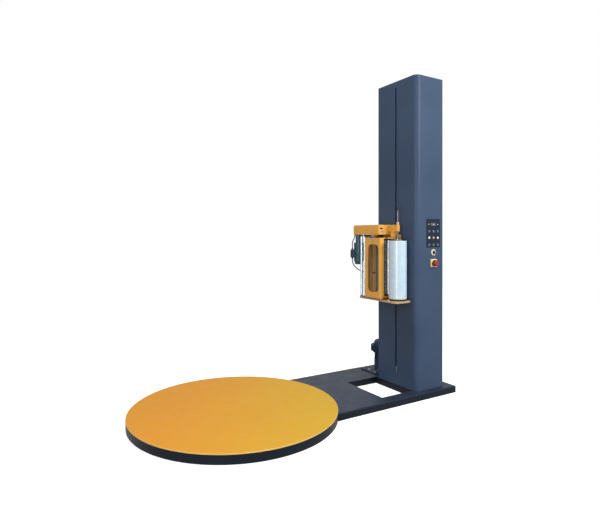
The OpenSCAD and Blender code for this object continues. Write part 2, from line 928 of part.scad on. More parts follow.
// Lift gearmotor on its pedestal at the foot of the mast
module lift_gearmotor() {
    gearbox_xs = around(pulley_x, gearbox_l);
    gearbox_ys = [gearbox_y, gearbox_y + gearbox_w];
    motor_d = 110;
    motor_end = mast_xs[1] - mast_t - 10;
    color(teal)
        difference() {
            union() {
                block(gearbox_xs, gearbox_ys, around(pulley_low_z, 150));
                block(gearbox_xs + [8, -8], gearbox_ys + [8, -8], [deck_h, pulley_low_z - 74]);
                block(gearbox_xs + [-6, 6], gearbox_ys + [-2, 6], [deck_h, deck_h + 8]);
                translate([gearbox_xs[1] - 1, gearbox_y + gearbox_w / 2, pulley_low_z])
                    rotate([0, 90, 0]) {
                        cylinder(d = motor_d, h = motor_end - gearbox_xs[1]);
                        for (k = [1 : 4])
                            translate([0, 0, 20 * k])
                                cylinder(d = motor_d + 10, h = 6);
                    }
            }
            translate([pulley_x, 0, pulley_low_z])
                rod_y(pulley_shaft_d + 2 * shaft_gap, gearbox_y - 1, gearbox_y + 42);
        }
}

// Pulley rim with side flanges, lying along Y about its middle
module pulley_rim() {
    rod_y(pulley_d, -pulley_w / 2, pulley_w / 2);
    for (y = [-pulley_w / 2, pulley_w / 2 - flange_t])
        rod_y(flange_d, y, y + flange_t);
}

// Lower pulley on the lift gearmotor's shaft
module lift_pulley() {
    color(steel)
        translate([pulley_x, lift_y, pulley_low_z]) {
            pulley_rim();
            rod_y(pulley_shaft_d, -pulley_w / 2 - 6, pulley_w / 2 + 40);
        }
}

// Upper pulley on the cap's pin
module top_pulley() {
    color(steel)
        translate([pulley_x, lift_y, pulley_high_z])
            difference() {
                pulley_rim();
                rod_y(pulley_pin_d + 2 * shaft_gap, -pulley_w, pulley_w);
            }
}

// Lift belt round both pulleys
module lift_belt() {
    color(black)
        translate([pulley_x, lift_y + belt_w / 2, pulley_low_z])
            rotate([90, -90, 0])
                linear_extrude(belt_w)
                    loop_band(pulley_r, pulley_r, pulley_high_z - pulley_low_z, run_gap, run_gap + belt_t);
}

// Electrical box behind the control face
module control_box() {
    inside = face_y + mast_t;
    box_l = 195;
    box_deep = 100;
    box_h = 500;
    box_z_mid = (keypad_z + selector_z + estop_z) / 3 + 81;
    lid_inset = 6;
    lid_t = 6;
    color(steel) {
        block(around(panel_x, box_l), [inside, inside + box_deep], around(box_z_mid, box_h));
        block(around(panel_x, box_l - 2 * lid_inset), [inside + box_deep - 1, inside + box_deep + lid_t],
            around(box_z_mid, box_h - 2 * lid_inset));
    }
}

// Trolley inside the mast, with axles for the guide rollers, the belt's clamp and the neck through the slot
module trolley() {
    axle_end = rail_span / 2 + guide_side_gap + guide_w;
    clamp_xs = [guide_x + trolley_t / 2 - 1, belt_x + belt_t + 12];
    color(steel)
        difference() {
            union() {
                block(around(guide_x, trolley_t), around(lift_y, trolley_w), trolley_z);
                for (z = guide_z)
                    translate([guide_x, lift_y, z])
                        rod_y(guide_axle_d, -axle_end, axle_end);
                for (z = guide_z)
                    translate([guide_x, lift_y, z])
                        rod_y(
                            guide_axle_d + 10,
                            -rail_span / 2 - guide_side_gap + 1,
                            rail_span / 2 + guide_side_gap - 1
                        );
                block([back_xs[1], guide_x], around(lift_y, neck_w), neck_z);
                block(clamp_xs, around(lift_y, belt_w + 26), around(housing_z - 155, 60));
            }
            block([belt_x - 2 * run_gap, belt_x + belt_t + 2 * run_gap], around(lift_y, belt_w + 4 * run_gap),
                [trolley_z[0], trolley_z[1]]);
        }
}

// One guide roller; the first two run in the near rail, the others in the far one
module guide_roller(i) {
    side = i <= 2 ? -1 : 1;
    z = guide_z[(i - 1) % 2];
    inner = rail_span / 2 + guide_side_gap;
    color(rubber)
        translate([guide_x, lift_y, z])
            mirror([0, side < 0 ? 1 : 0, 0])
                difference() {
                    rod_y(guide_d, inner, inner + guide_w);
                    rod_y(guide_axle_d + 2 * shaft_gap, inner - 1, inner + guide_w + 1);
                }
}

// Bores in the gear plate and the bottom plate for the upright rollers
module roller_bores(low, high) {
    for (p = [stretch_a, stretch_b, exit_at, guide_at])
        translate(p)
            rod(2 * bore_r, low, high);
}

// Back plate and gear plate of the carriage, with the door's catch
module carriage_frame() {
    color(carriage_yellow)
        difference() {
            union() {
                block(back_xs, back_ys, [plate_z, housing_z]);
                block(housing_xs + [sheet_t, -sheet_t], housing_ys + [sheet_t, -sheet_t],
                    [housing_z, housing_z + gear_plate_t]);
                block(
                    [hinge_x, hinge_x + catch_l],
                    around(catch_y, catch_w),
                    [door_zs[1] + catch_gap, housing_z + 1]
                );
            }
            roller_bores(housing_z - 1, housing_z + gear_plate_t + 1);
            translate([motor_x, motor_y])
                rod(journal_d + 8, housing_z - 1, housing_z + gear_plate_t + 1);
        }
}

// Housing over the gears, with the arm that guides the spindle
module gear_housing() {
    arm_zs = [housing_top - arm_h, housing_top];
    color(carriage_yellow)
        difference() {
            union() {
                difference() {
                    block(housing_xs, housing_ys, [housing_z, housing_top]);
                    block(housing_xs + [sheet_t, -sheet_t], housing_ys + [sheet_t, -sheet_t],
                        [housing_z - 1, housing_top - sheet_t]);
                }
                block(around(roll_x, arm_w), [roll_y, housing_ys[0] + 0.01], arm_zs);
                translate([roll_x, roll_y]) {
                    rod(arm_w, arm_zs[0], arm_zs[1]);
                    rod(pin_d + pin_boss_wall, arm_zs[0], arm_zs[1] + arm_boss_h);
                }
            }
            translate([roll_x, roll_y])
                rod(pin_d + 4 * shaft_gap, arm_zs[0] - 1, arm_zs[1] + arm_boss_h + 1);
        }
}

// Bottom plate outline, set in from its edges
module plate_outline(inset) {
    rounded_rect(plate_xs + [inset, -inset], plate_ys + [inset, -inset],
        [plate_r - inset, plate_r - inset, 8 - inset, 8 - inset]);
}

// Folded bottom plate with bearing bosses, the roll's axle and the door's hinge pin
module bottom_plate() {
    ear_ys = [[door_ys[0] - 2 - hinge_ear_t, door_ys[0] - 2], [door_ys[1] + 2, door_ys[1] + 2 + hinge_ear_t]];
    color(carriage_yellow)
        difference() {
            union() {
                difference() {
                    rise(plate_low_z, plate_z)
                        plate_outline(0);
                    rise(plate_low_z - 1, plate_z - sheet_t)
                        plate_outline(sheet_t);
                }
                for (p = [stretch_a, stretch_b, exit_at, guide_at])
                    translate(p)
                        rod(journal_d + 2 * boss_wall, plate_low_z, plate_z);
                for (ys = ear_ys) {
                    block(around(hinge_x, 2 * ear_r), ys, [plate_z - 1, hinge_z]);
                    translate([hinge_x, 0, hinge_z])
                        rod_y(2 * ear_r, ys[0], ys[1]);
                }
            }
            roller_bores(plate_low_z - 1, plate_z + 1);
        }
    color(steel) {
        translate([roll_x, roll_y])
            rod(stub_d, plate_low_z - 9, core_low + 14);
        translate([hinge_x, 0, hinge_z])
            rod_y(hinge_d, ear_ys[0][0], ear_ys[1][1]);
    }
}

// Core holder that turns on the roll's axle
module core_holder() {
    color(black)
        translate([roll_x, roll_y])
            difference() {
                union() {
                    rod(holder_d, holder_low, core_low);
                    rod(core_in_d - 2 * run_gap, holder_low, core_low + holder_plug_h);
                }
                rod(stub_d + 2 * shaft_gap, holder_low - 1, core_low + 18);
            }
}

// Board core of the film roll
module film_core() {
    color(board)
        translate([roll_x, roll_y])
            difference() {
                rod(core_d, core_low, core_top);
                rod(core_in_d, core_low - 1, core_top + 1);
            }
}

// Wound film
module film_roll() {
    color(film_blue)
        translate([roll_x, roll_y])
            difference() {
                rod(film_d, film_low, film_low + film_h);
                rod(core_d + 2 * shaft_gap, film_low - 1, film_low + film_h + 1);
            }
}

// Spindle pin that is pulled up to free the roll
module spindle_pin() {
    color(chrome)
        translate([roll_x, roll_y]) {
            rod(core_in_d - 2 * run_gap, core_top - pin_plug_h, core_top + run_gap);
            rod(core_d + 8, core_top + run_gap, core_top + pin_flange_t);
            rod(pin_d + 16, core_top + pin_flange_t, core_top + pin_flange_t + pin_collar_h);
            rod(pin_d, core_top, pin_top);
            rod(pin_knob_d, pin_top - pin_knob_h, pin_top);
        }
}

// Upright roller with journals at both ends
module upright_roller(d, low, high, journal_low, journal_high) {
    rod(d, low, high);
    rod(journal_d, journal_low, journal_high);
}

// Pre-stretch roller with its gear in the housing
module prestretch_roller(at, teeth, turn) {
    translate(at) {
        color(rubber)
            upright_roller(
                stretch_d,
                plate_z + roller_end_gap,
                housing_z - roller_end_gap,
                plate_low_z + 1,
                shaft_top
            );
        color(steel)
            rise(gear_low, gear_low + gear_t)
                rotate(turn)
                    gear(teeth);
    }
}
module prestretch_roller_a() {
    prestretch_roller(stretch_a, gear_a_teeth, gear_a_turn);
}
module prestretch_roller_b() {
    prestretch_roller(stretch_b, gear_b_teeth, gear_b_turn);
}

// Pinion on the pre-stretch motor's shaft
module motor_pinion() {
    color(steel)
        translate([motor_x, motor_y]) {
            rod(journal_d, housing_z - 40, shaft_top);
            rise(gear_low, gear_low + gear_t)
                rotate(pinion_turn)
                    gear(pinion_teeth);
        }
}

// Chrome rollers at the far end
module chrome_roller(at) {
    color(chrome)
        translate(at)
            upright_roller(chrome_d, plate_z + roller_end_gap, housing_z - roller_end_gap, plate_low_z + 1,
                housing_z + gear_plate_t);
}
module exit_roller() {
    chrome_roller(exit_at);
}
module guide_idler() {
    chrome_roller(guide_at);
}

// Pre-stretch gearmotor that hangs under the gear plate
module stretch_motor() {
    neck_d = motor_flange_d - 8;
    color(teal)
        translate([motor_x, motor_y])
            difference() {
                union() {
                    rod(motor_flange_d, housing_z - motor_flange_t, housing_z);
                    rod(neck_d, housing_z - 80, housing_z - 5);
                    rod(stretch_motor_d, motor_low + motor_cap_h, housing_z - 78);
                    for (z = [housing_z - 84, motor_low + motor_cap_h])
                        rod(stretch_motor_d + 4, z, z + 6);
                    translate([0, 0, motor_low])
                        cylinder(d1 = stretch_motor_d - 24, d2 = stretch_motor_d - 2, h = motor_cap_h);
                }
                rod(journal_d + 2 * shaft_gap, housing_z - 42, housing_z + 1);
            }
}

// Terminal box on the pre-stretch motor, with its cable glands
module motor_terminal_box() {
    inner_r = stretch_motor_d / 2 + 0.05;
    color(teal) {
        difference() {
            translate([motor_x, motor_y])
                rotate([0, 0, box_angle])
                    rise(box_z[0], box_z[1])
                        rounded_rect([22, box_out], around(0, box_w), [0.1, 8, 8, 0.1]);
            translate([motor_x, motor_y])
                rod(2 * inner_r, box_z[0] - 1, box_z[1] + 1);
        }
        translate(box_mid)
            rod(2 * gland_r, box_z[0] - gland_h, box_z[1] + gland_h);
    }
}

// Motor leads, held from the terminal box to the gear plate and to the back plate
module motor_cable() {
    color(black) {
        tube(smooth(cable_up, 3), cable_d, 8);
        tube(smooth(cable_down, 3), cable_d, 8);
    }
}

// Door plate that carries the journals of the two door rollers
module door_end(zs) {
    difference() {
        union() {
            block([door_x + 1, door_x + door_depth], door_ys + [1, -1], zs);
            block([door_x + door_depth - 1, idler_at[0] + 16], [idler_at[1] - 16, press_at[1] + 20], zs);
        }
        for (p = [press_at, idler_at])
            translate(p)
                rod(2 * bore_r, zs[0] - 1, zs[1] + 1);
    }
}

// Channel-shaped door with a long window, hinged at its foot
module roller_door() {
    color(carriage_yellow)
        difference() {
            union() {
                difference() {
                    block([door_x, door_x + door_depth], door_ys, door_zs);
                    block([door_x + sheet_t, door_x + door_depth + 1], door_ys + [sheet_t, -sheet_t],
                        door_zs + [-1, 1]);
                }
                door_end(end_low);
                door_end(end_high);
                for (y = [door_ys[0], door_ys[1] - sheet_t]) {
                    translate([hinge_x, 0, hinge_z])
                        rod_y(2 * ear_r, y, y + sheet_t);
                    block(around(hinge_x, 2 * ear_r), [y, y + sheet_t], [hinge_z, door_zs[0] + 1]);
                }
            }
            translate([door_x - 1, 0, 0])
                rotate([90, 0, 90])
                    linear_extrude(sheet_t + 2)
                        rounded_rect(window_ys, around(window_mid, window_h), even(window_r));
            translate([hinge_x, 0, hinge_z])
                rod_y(hinge_d + 2 * shaft_gap, door_ys[0] - 1, door_ys[1] + 1);
        }
}

// Roller between the door's end plates
module door_roller(at, d) {
    translate(at)
        upright_roller(d, end_low[1] + roller_end_gap, end_high[0] - roller_end_gap, end_low[0], end_high[1]);
}
module press_roller() {
    color(rubber)
        door_roller(press_at, press_d);
}
module door_idler() {
    color(chrome)
        door_roller(idler_at, idler_d);
}

// Place of a key on the keypad, counted along the rows from the upper left
function key_at(i) = [
    panel_x + ((i - 1) % key_cols - 1) * key_step_x,
    key_row_z[floor((i - 1) / key_cols)]
];

// Keypad plate with a recess for the display and a hole for each key
module keypad_plate() {
    color(black)
        difference() {
            translate([0, face_y, 0])
                rotate([90, 0, 0])
                    linear_extrude(keypad_t)
                        rounded_rect(around(panel_x, keypad_w), around(keypad_z, keypad_h), even(6));
            block(around(panel_x, display_w), [face_y - keypad_t - 1, face_y - keypad_t + display_deep],
                around(display_z, display_h));
            for (i = [1 : key_cols * key_rows])
                translate([key_at(i)[0], 0, key_at(i)[1]])
                    rod_y(key_d + 2 * run_gap, face_y - keypad_t - 1, face_y + 1);
        }
}

// One key in its hole
module key(i) {
    color(cream)
        translate([key_at(i)[0], 0, key_at(i)[1]])
            rod_y(key_d, face_y - keypad_t - key_proud, face_y - key_travel - run_gap);
}

// Ring round the selector switch
module selector_ring() {
    color(cream)
        translate([panel_x, 0, selector_z])
            difference() {
                union() {
                    rod_y(selector_d, face_y - selector_t + 3, face_y);
                    rod_y(selector_d - 8, face_y - selector_t, face_y);
                }
                rod_y(selector_hole_d, face_y - selector_t - 1, face_y + 1);
            }
}

// Selector knob with its grip bar
module selector_knob() {
    grip = 9;
    color(black)
        translate([panel_x, 0, selector_z]) {
            rod_y(selector_hole_d - 2 * run_gap, face_y - selector_t - 4, face_y - run_gap);
            block(around(0, grip), [face_y - selector_t - selector_proud, face_y - selector_t],
                around(0, selector_hole_d - 6));
        }
}

// Yellow base of the emergency stop
module estop_base() {
    color(signal_yellow)
        difference() {
            translate([0, face_y, 0])
                rotate([90, 0, 0])
                    linear_extrude(estop_base_t)
                        rounded_rect(around(panel_x, estop_w), around(estop_z, estop_w), even(6));
            translate([panel_x, 0, estop_z])
                rod_y(estop_stem_d + 2 * run_gap, face_y - estop_base_t - 1, face_y + 1);
        }
}

// Red mushroom head of the emergency stop on its stem
module estop_head() {
    stem = estop_proud - estop_head_t;
    round_r = 11;
    color(signal_red)
        translate([panel_x, face_y - estop_travel - run_gap, estop_z])
            rotate([90, 0, 0]) {
                cylinder(d = estop_stem_d, h = stem + 2);
                translate([0, 0, stem])
                    rotate_extrude() {
                        square([estop_d / 2, estop_head_t - round_r]);
                        square([estop_d / 2 - round_r, estop_head_t]);
                        translate([estop_d / 2 - round_r, estop_head_t - round_r])
                            circle(round_r);
                    }
            }
}

base_pan();
deck();
pivot_post();
roller_brackets();
drive_chain();
gearmotor();
floor_bolts();
mast_shell();
mast_cap();
mast_rear_panel();
guide_rails();
lift_gearmotor();
lift_belt();
control_box();
keypad_plate();
selector_ring();
estop_base();
turntable_plate();
table_sprocket();
drive_sprocket();
trolley();
carriage_frame();
gear_housing();
bottom_plate();
stretch_motor();
motor_terminal_box();
motor_cable();
motor_pinion();
lift_pulley();
top_pulley();
roller_door();
press_roller();
door_idler();
prestretch_roller_a();
prestretch_roller_b();
exit_roller();
guide_idler();
film_roll();
film_core();
core_holder();
spindle_pin();
selector_knob();
estop_head();
for (i = [1 : support_n])
    support_roller(i);
for (i = [1 : guide_n])
    guide_roller(i);
for (i = [1 : key_cols * key_rows])
    key(i);
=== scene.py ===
"""Looks of a turntable pallet wrapper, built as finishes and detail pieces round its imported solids."""

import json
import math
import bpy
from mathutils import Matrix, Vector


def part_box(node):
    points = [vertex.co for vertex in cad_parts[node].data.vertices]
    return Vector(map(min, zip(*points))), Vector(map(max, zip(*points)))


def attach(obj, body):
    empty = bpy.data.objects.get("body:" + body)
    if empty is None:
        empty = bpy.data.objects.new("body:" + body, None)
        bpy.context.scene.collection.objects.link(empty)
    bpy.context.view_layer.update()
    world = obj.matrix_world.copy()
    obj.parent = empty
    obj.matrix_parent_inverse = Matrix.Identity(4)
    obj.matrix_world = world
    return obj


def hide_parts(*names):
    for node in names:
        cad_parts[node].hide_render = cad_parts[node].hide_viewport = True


bl_info = {
    "name": "Pallet wrapper looks",
    "version": (1, 0, 0),
    "blender": (4, 5, 0),
    "location": "View3D > Sidebar > Wrapper",
    "description": "Finishes, fittings and stage for a turntable pallet wrapper",
    "category": "Object",
}

import bpy
from bpy.props import FloatProperty, FloatVectorProperty, PointerProperty
from mathutils import Matrix, Vector

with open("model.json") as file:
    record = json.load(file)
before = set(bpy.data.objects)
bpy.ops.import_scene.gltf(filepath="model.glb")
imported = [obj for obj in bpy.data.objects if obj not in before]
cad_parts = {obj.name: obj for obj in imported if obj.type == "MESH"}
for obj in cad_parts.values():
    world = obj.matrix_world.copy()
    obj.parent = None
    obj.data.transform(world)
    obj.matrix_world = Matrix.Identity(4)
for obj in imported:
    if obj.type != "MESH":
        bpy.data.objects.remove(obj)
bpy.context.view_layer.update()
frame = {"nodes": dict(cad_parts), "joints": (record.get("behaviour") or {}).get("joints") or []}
NODES = frame["nodes"]
JOINTS = {joint["name"]: joint for joint in frame["joints"]}
MM = 0.001
UP, DOWN = (0, 0, 1), (0, 0, -1)
TO_TABLE, TO_BACK = (-1, 0, 0), (1, 0, 0)
TO_OPERATOR, TO_FAR = (0, -1, 0), (0, 1, 0)
WHITE = (1.0, 1.0, 1.0, 1.0)


def box_of(node):
    """Lowest and highest corner of a solid, and its middle."""
    low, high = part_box(node)
    return low, high, (low + high) / 2


def axis_of(joint):
    """A point on a joint's axis."""
    return Vector(JOINTS[joint]["pos_m"])


def mm(value):
    """Millimetres as metres, for a number or for nested rows of numbers."""
    if isinstance(value, (tuple, list)):
        return [mm(part) for part in value]
    return value * MM


# Shader maths


class Value:
    """A shader socket that takes part in Python arithmetic."""

    def __init__(self, owner, socket):
        self.owner = owner
        self.socket = socket

    def maths(self, operation, first, second):
        return self.owner.node("ShaderNodeMath", {"operation": operation}, {0: first, 1: second})

    def __add__(self, other):
        return self.maths("ADD", self, other)

    def __radd__(self, other):
        return self.maths("ADD", other, self)

    def __sub__(self, other):
        return self.maths("SUBTRACT", self, other)

    def __rsub__(self, other):
        return self.maths("SUBTRACT", other, self)

    def __mul__(self, other):
        return self.maths("MULTIPLY", self, other)

    def __rmul__(self, other):
        return self.maths("MULTIPLY", other, self)

    def __truediv__(self, other):
        return self.maths("DIVIDE", self, other)

    def __rtruediv__(self, other):
        return self.maths("DIVIDE", other, self)


class NodeTree:
    """A node tree under construction, with a method for each kind of node that takes part."""

    def __init__(self, tree):
        self.tree = tree

    def node(self, kind, settings=None, inputs=None, output=0):
        made = self.tree.nodes.new(kind)
        for key, value in (settings or {}).items():
            setattr(made, key, value)
        for key, value in (inputs or {}).items():
            self.feed(made.inputs[key], value)
        return Value(self, made.outputs[output])

    def feed(self, socket, value):
        if isinstance(value, Value):
            self.tree.links.new(value.socket, socket)
        else:
            socket.default_value = value

    def axis(self, place, letter):
        return self.node("ShaderNodeSeparateXYZ", {}, {0: place}, letter)

    def span(self, value, low, high, to_low=0.0, to_high=1.0):
        """A value's range, carried over to another range and held within it."""
        return self.node("ShaderNodeMapRange", {}, {0: value, 1: low, 2: high, 3: to_low, 4: to_high})


class Finish(NodeTree):
    """A material under construction: a shader, and methods for what feeds it."""

    def __init__(self, name, constants):
        self.material = bpy.data.materials.new(f"wrapper_{name}")
        self.material.use_nodes = True
        super().__init__(self.material.node_tree)
        self.shader = self.tree.nodes["Principled BSDF"]
        for socket, value in constants.items():
            self.shader.inputs[socket].default_value = value

    def spot(self, stretch=(1, 1, 1), centre=(0, 0, 0), turn=0.0):
        """Object coordinates, moved so that centre is at the origin, turned about Z and stretched."""
        place = self.node("ShaderNodeTexCoord", output="Object")
        moved = self.node("ShaderNodeVectorMath", {"operation": "SUBTRACT"}, {0: place, 1: tuple(centre)})
        return self.node("ShaderNodeMapping", {}, {0: moved, 2: (0, 0, turn), 3: stretch})

    def radius(self, centre=(0, 0, 0)):
        """Distance from an upright line."""
        flat = self.spot((1.0, 1.0, 0.0), centre)
        return self.node("ShaderNodeVectorMath", {"operation": "LENGTH"}, {0: flat}, 1)

    def along_x(self, value):
        """A place on the X axis, for noise that varies with one value."""
        return self.node("ShaderNodeCombineXYZ", {}, {0: value})

    def noise(self, place, scale, detail=3.0, rough=0.55):
        settings = {"noise_dimensions": "3D"}
        return self.node("ShaderNodeTexNoise", settings, {0: place, 2: scale, 3: detail, 4: rough})

    def cells(self, place, scale):
        return self.node("ShaderNodeTexVoronoi", {"feature": "F1"}, {0: place, 2: scale})

    def grooves(self, place, scale):
        """Level bands, one above the other."""
        settings = {"wave_type": "BANDS", "bands_direction": "Z"}
        return self.node("ShaderNodeTexWave", settings, {0: place, 1: scale, 2: 0.0, 3: 2.0})

    def cloud(self, place, scale, cut=(0.3, 0.7), to=(0.0, 1.0), detail=3.0):
        """Soft noise, cut to the middle of its range and carried over to another."""
        return self.span(self.noise(place, scale, detail), *cut, *to)

    def hairlines(self, place, cut=(0.60, 0.72)):
        """Sparse thin marks along the least stretched axis of a place."""
        return self.span(self.noise(place, 3.0, 4.0, 0.6), *cut)

    def blend(self, factor, first, second):
        return self.node("ShaderNodeMix", {"data_type": "RGBA"}, {0: factor, 6: first, 7: second}, 2)

    def two_tone(self, factor, paint, dark, light):
        """One colour in two shades."""
        return self.blend(factor, shade(paint, dark), shade(paint, light))

    def facing_z(self):
        return self.axis(self.node("ShaderNodeNewGeometry", output="Normal"), "Z")

    def upward(self):
        """1 on faces that look up, 0 on the others."""
        return self.span(self.facing_z(), 0.6, 0.95)

    def sideways(self):
        """1 on upright faces, 0 on those that look up or down."""
        lean = self.node("ShaderNodeMath", {"operation": "ABSOLUTE"}, {0: self.facing_z()})
        return self.span(lean, 0.3, 0.6, 1.0, 0.0)

    def set(self, colour, roughness=None, metallic=None):
        parts = {"Base Color": colour, "Roughness": roughness, "Metallic": metallic}
        for socket, value in parts.items():
            if value is not None:
                self.feed(self.shader.inputs[socket], value)

    def relief(self, height, distance, strength):
        bump = self.node("ShaderNodeBump", {}, {"Height": height, "Distance": distance, "Strength": strength})
        self.feed(self.shader.inputs["Normal"], bump)


def shade(colour, factor):
    """A colour made darker or lighter, with its alpha kept at 1."""
    return tuple(min(part * factor, 1.0) for part in colour[:3]) + (1.0,)


# Values that a user would change


def colour(label, about, value):
    return FloatVectorProperty(
        name=label, description=about, subtype="COLOR", size=4, min=0.0, max=1.0, default=value + (1.0,)
    )


def length(label, about, millimetres):
    return FloatProperty(
        name=label, description=about, subtype="DISTANCE", unit="LENGTH", min=0.0, default=millimetres * MM
    )


class WrapperSizes(bpy.types.PropertyGroup):
    """Sizes of the fittings."""

    lead_d: length("Leads", "Diameter of the pre-stretch motor's leads", 9)
    groove: length("Grooves", "Pitch of the grooves in the rubber rollers", 6)
    layer: length("Last turn", "How far the film's free edge stands proud", 0.9)
    display_w: length("Display width", "Width of the display's window", 54)
    display_h: length("Display height", "Height of the display's window", 20)
    bezel: length("Display frame", "Width of the display's frame", 3.5)
    digit_pitch: length("Digits", "Distance from one numeral of the display to the next", 14)
    lamp_pitch: length("Lamps", "Distance between the two lamps beside the display", 112)
    slot_w: length("Slot", "Width of the mast's slot between its folded edges", 25)
    trim_w: length("Trim", "Width of the trim on each side of the slot", 7)
    lid: length("Lid", "Thickness of the gear housing's lid", 2.5)
    bracket: length("Bracket", "Thickness of the angle plate on the gear housing", 5)
    latch: length("Latch", "Thickness of the door latch's plate", 3)


class WrapperColours(bpy.types.PropertyGroup):
    """Colours of the paints, plastics and rubbers."""

    slate: colour("Slate", "Powder coat of the mast", (0.049, 0.078, 0.137))
    base: colour("Base", "Paint of the base and the deck", (0.0105, 0.0142, 0.0215))
    # Dust mixed with a painted bluish sheen, on what looks up
    dust_and_sheen: colour("Dust", "Dust on what looks up", (0.108, 0.155, 0.275))
    table: colour("Table", "Paint of the turntable", (0.688, 0.286, 0.019))
    # Painted light: the turntable's paint towards the mast, lighter and yellower as where light falls
    # brighter
    painted_lit_tone: colour("Faded", "Paint of the turntable towards the mast", (0.61, 0.353, 0.02))
    # Painted highlight along the turntable's edge, in a pale tone
    rim: colour("Rim", "Worn edge of the turntable", (0.80, 0.56, 0.22))
    carriage: colour("Carriage", "Paint of the film carriage", (0.735, 0.368, 0.053))
    teal: colour("Teal", "Enamel of the pre-stretch motor", (0.014, 0.075, 0.105))
    film: colour("Film", "Wound stretch film", (0.49, 0.65, 0.78))
    milky: colour("Milky film", "Film with air between its turns", (0.59, 0.74, 0.85))
    streak: colour("Film streaks", "Pale streaks round the film", (0.74, 0.85, 0.92))
    board: colour("Board", "Board of the film's core", (0.42, 0.27, 0.14))
    rubber: colour("Rubber", "Covering of the rubber rollers", (0.135, 0.143, 0.152))
    gum: colour("Gum", "Covering of the gum rubber roller", (0.86, 0.75, 0.50))
    black: colour("Black", "Black plastic", (0.016, 0.018, 0.022))
    panel: colour("Panel", "Face of the keypad", (0.012, 0.020, 0.038))
    cream: colour("Cream", "Cream plastic of the selector", (0.70, 0.66, 0.44))
    key_blue: colour("Blue keys", "Keys of the first row", (0.125, 0.155, 0.215))
    key_light: colour("Light keys", "Outer keys of the second row", (0.86, 0.84, 0.74))
    key_pink: colour("Pink key", "Middle key of the second row", (0.47, 0.37, 0.37))
    key_teal: colour("Teal keys", "Keys of the third row", (0.105, 0.16, 0.19))
    yellow: colour("Yellow", "Base of the emergency stop", (0.95, 0.74, 0.35))
    red: colour("Red", "Head of the emergency stop", (0.29, 0.028, 0.016))
    steel: colour("Steel", "Bare and plated steel", (0.52, 0.54, 0.56))
    chrome: colour("Chrome", "Chromed rollers", (0.74, 0.85, 0.90))
    glow: colour("Display", "Lit marks of the display", (0.62, 0.82, 0.86))


def dims():
    return bpy.context.scene.wrapper_sizes


def colours():
    return bpy.context.scene.wrapper_colours


# Finishes


# Bands of a wave texture in one metre, at a scale of 1
BANDS_PER_SCALE = 3.2
# Where the painted highlight along the turntable's edge begins and where it is at full strength, from its
# axis
HIGHLIGHT_FROM, HIGHLIGHT_TO = 821.5 * MM, 824 * MM


def powder_coat(name, paint, roughness, rubbed=0.0, dust_and_sheen=0.0, gloss=0.18, lacquer=0.0, cast=WHITE):
    """Powder-coated sheet with orange peel, slight mottling, rubbed marks, and on what looks up dust mixed
    with a painted bluish sheen.
    """
    finish = Finish(name, {
        "Specular IOR Level": gloss, "Specular Tint": cast, "Coat Weight": lacquer, "Coat Roughness": 0.33
    })
    place = finish.spot()
    painted = finish.two_tone(finish.cloud(place, 2.2, (0.35, 0.65)), paint, 0.92, 1.07)
    speckle = finish.span(finish.cells(place, 260.0), 0.0, 0.14, 0.22, 0.0)
    painted = finish.blend(speckle, painted, shade(paint, 1.5))
    shine = finish.cloud(place, 9.0, to=(roughness - 0.05, roughness + 0.07))
    if rubbed:
        marks = finish.hairlines(finish.spot((1.2, 34.0, 30.0), turn=0.35))
        marks = marks * finish.cloud(place, 1.7, (0.42, 0.62)) * rubbed
        painted = finish.blend(marks, painted, shade(paint, 2.6))
        shine = shine + marks * 0.2
    if dust_and_sheen:
        # Dust mixed with painted sheen: faces that look up turn lighter and bluer
        settled_and_sheen = finish.upward() * finish.cloud(place, 5.0, (0.3, 0.75), (0.4, 1.0), 5.0) * dust_and_sheen
        painted = finish.blend(settled_and_sheen, painted, shade(colours().dust_and_sheen, 1.0))
        shine = shine + settled_and_sheen * 0.4
    finish.set(painted, shine)
    finish.relief(finish.noise(place, 380.0, 2.0), 0.0004, 0.35)


def chipped_paint(name, paint, roughness, metal, edge_highlight_share=0.0):
    """Brush-thick machine paint with small chips down to the steel, and by a share a painted highlight in
    steel grey on upright faces.
    """
    finish = Finish(name, {"Specular IOR Level": 0.5})
    place = finish.spot()
    painted = finish.two_tone(finish.cloud(place, 7.0), paint, 0.90, 1.08)
    near_chip = finish.span(finish.cells(place, 38.0), 0.035, 0.05, 1.0, 0.0)
    chips = near_chip * finish.cloud(place, 11.0, (0.60, 0.66), detail=4.0)
    handled = finish.hairlines(finish.spot((40.0, 40.0, 2.5)), (0.62, 0.74))
    painted = finish.blend(handled * 0.25, painted, shade(paint, 0.6))
    if edge_highlight_share:
        # Painted highlight: upright faces, such as a plate's edges, turn towards steel grey
        worn = finish.cloud(place, 9.0, (0.25, 0.5), (0.6, 1.0), 4.0)
        painted = finish.blend(finish.sideways() * worn * edge_highlight_share, painted, shade(metal, 0.6))
    shine = finish.cloud(place, 14.0, to=(roughness - 0.06, roughness + 0.08))
    finish.set(finish.blend(chips, painted, metal), shine, chips * 0.8)
    finish.relief(finish.noise(place, 300.0, 2.0) * 0.5 - chips, 0.0005, 0.4)


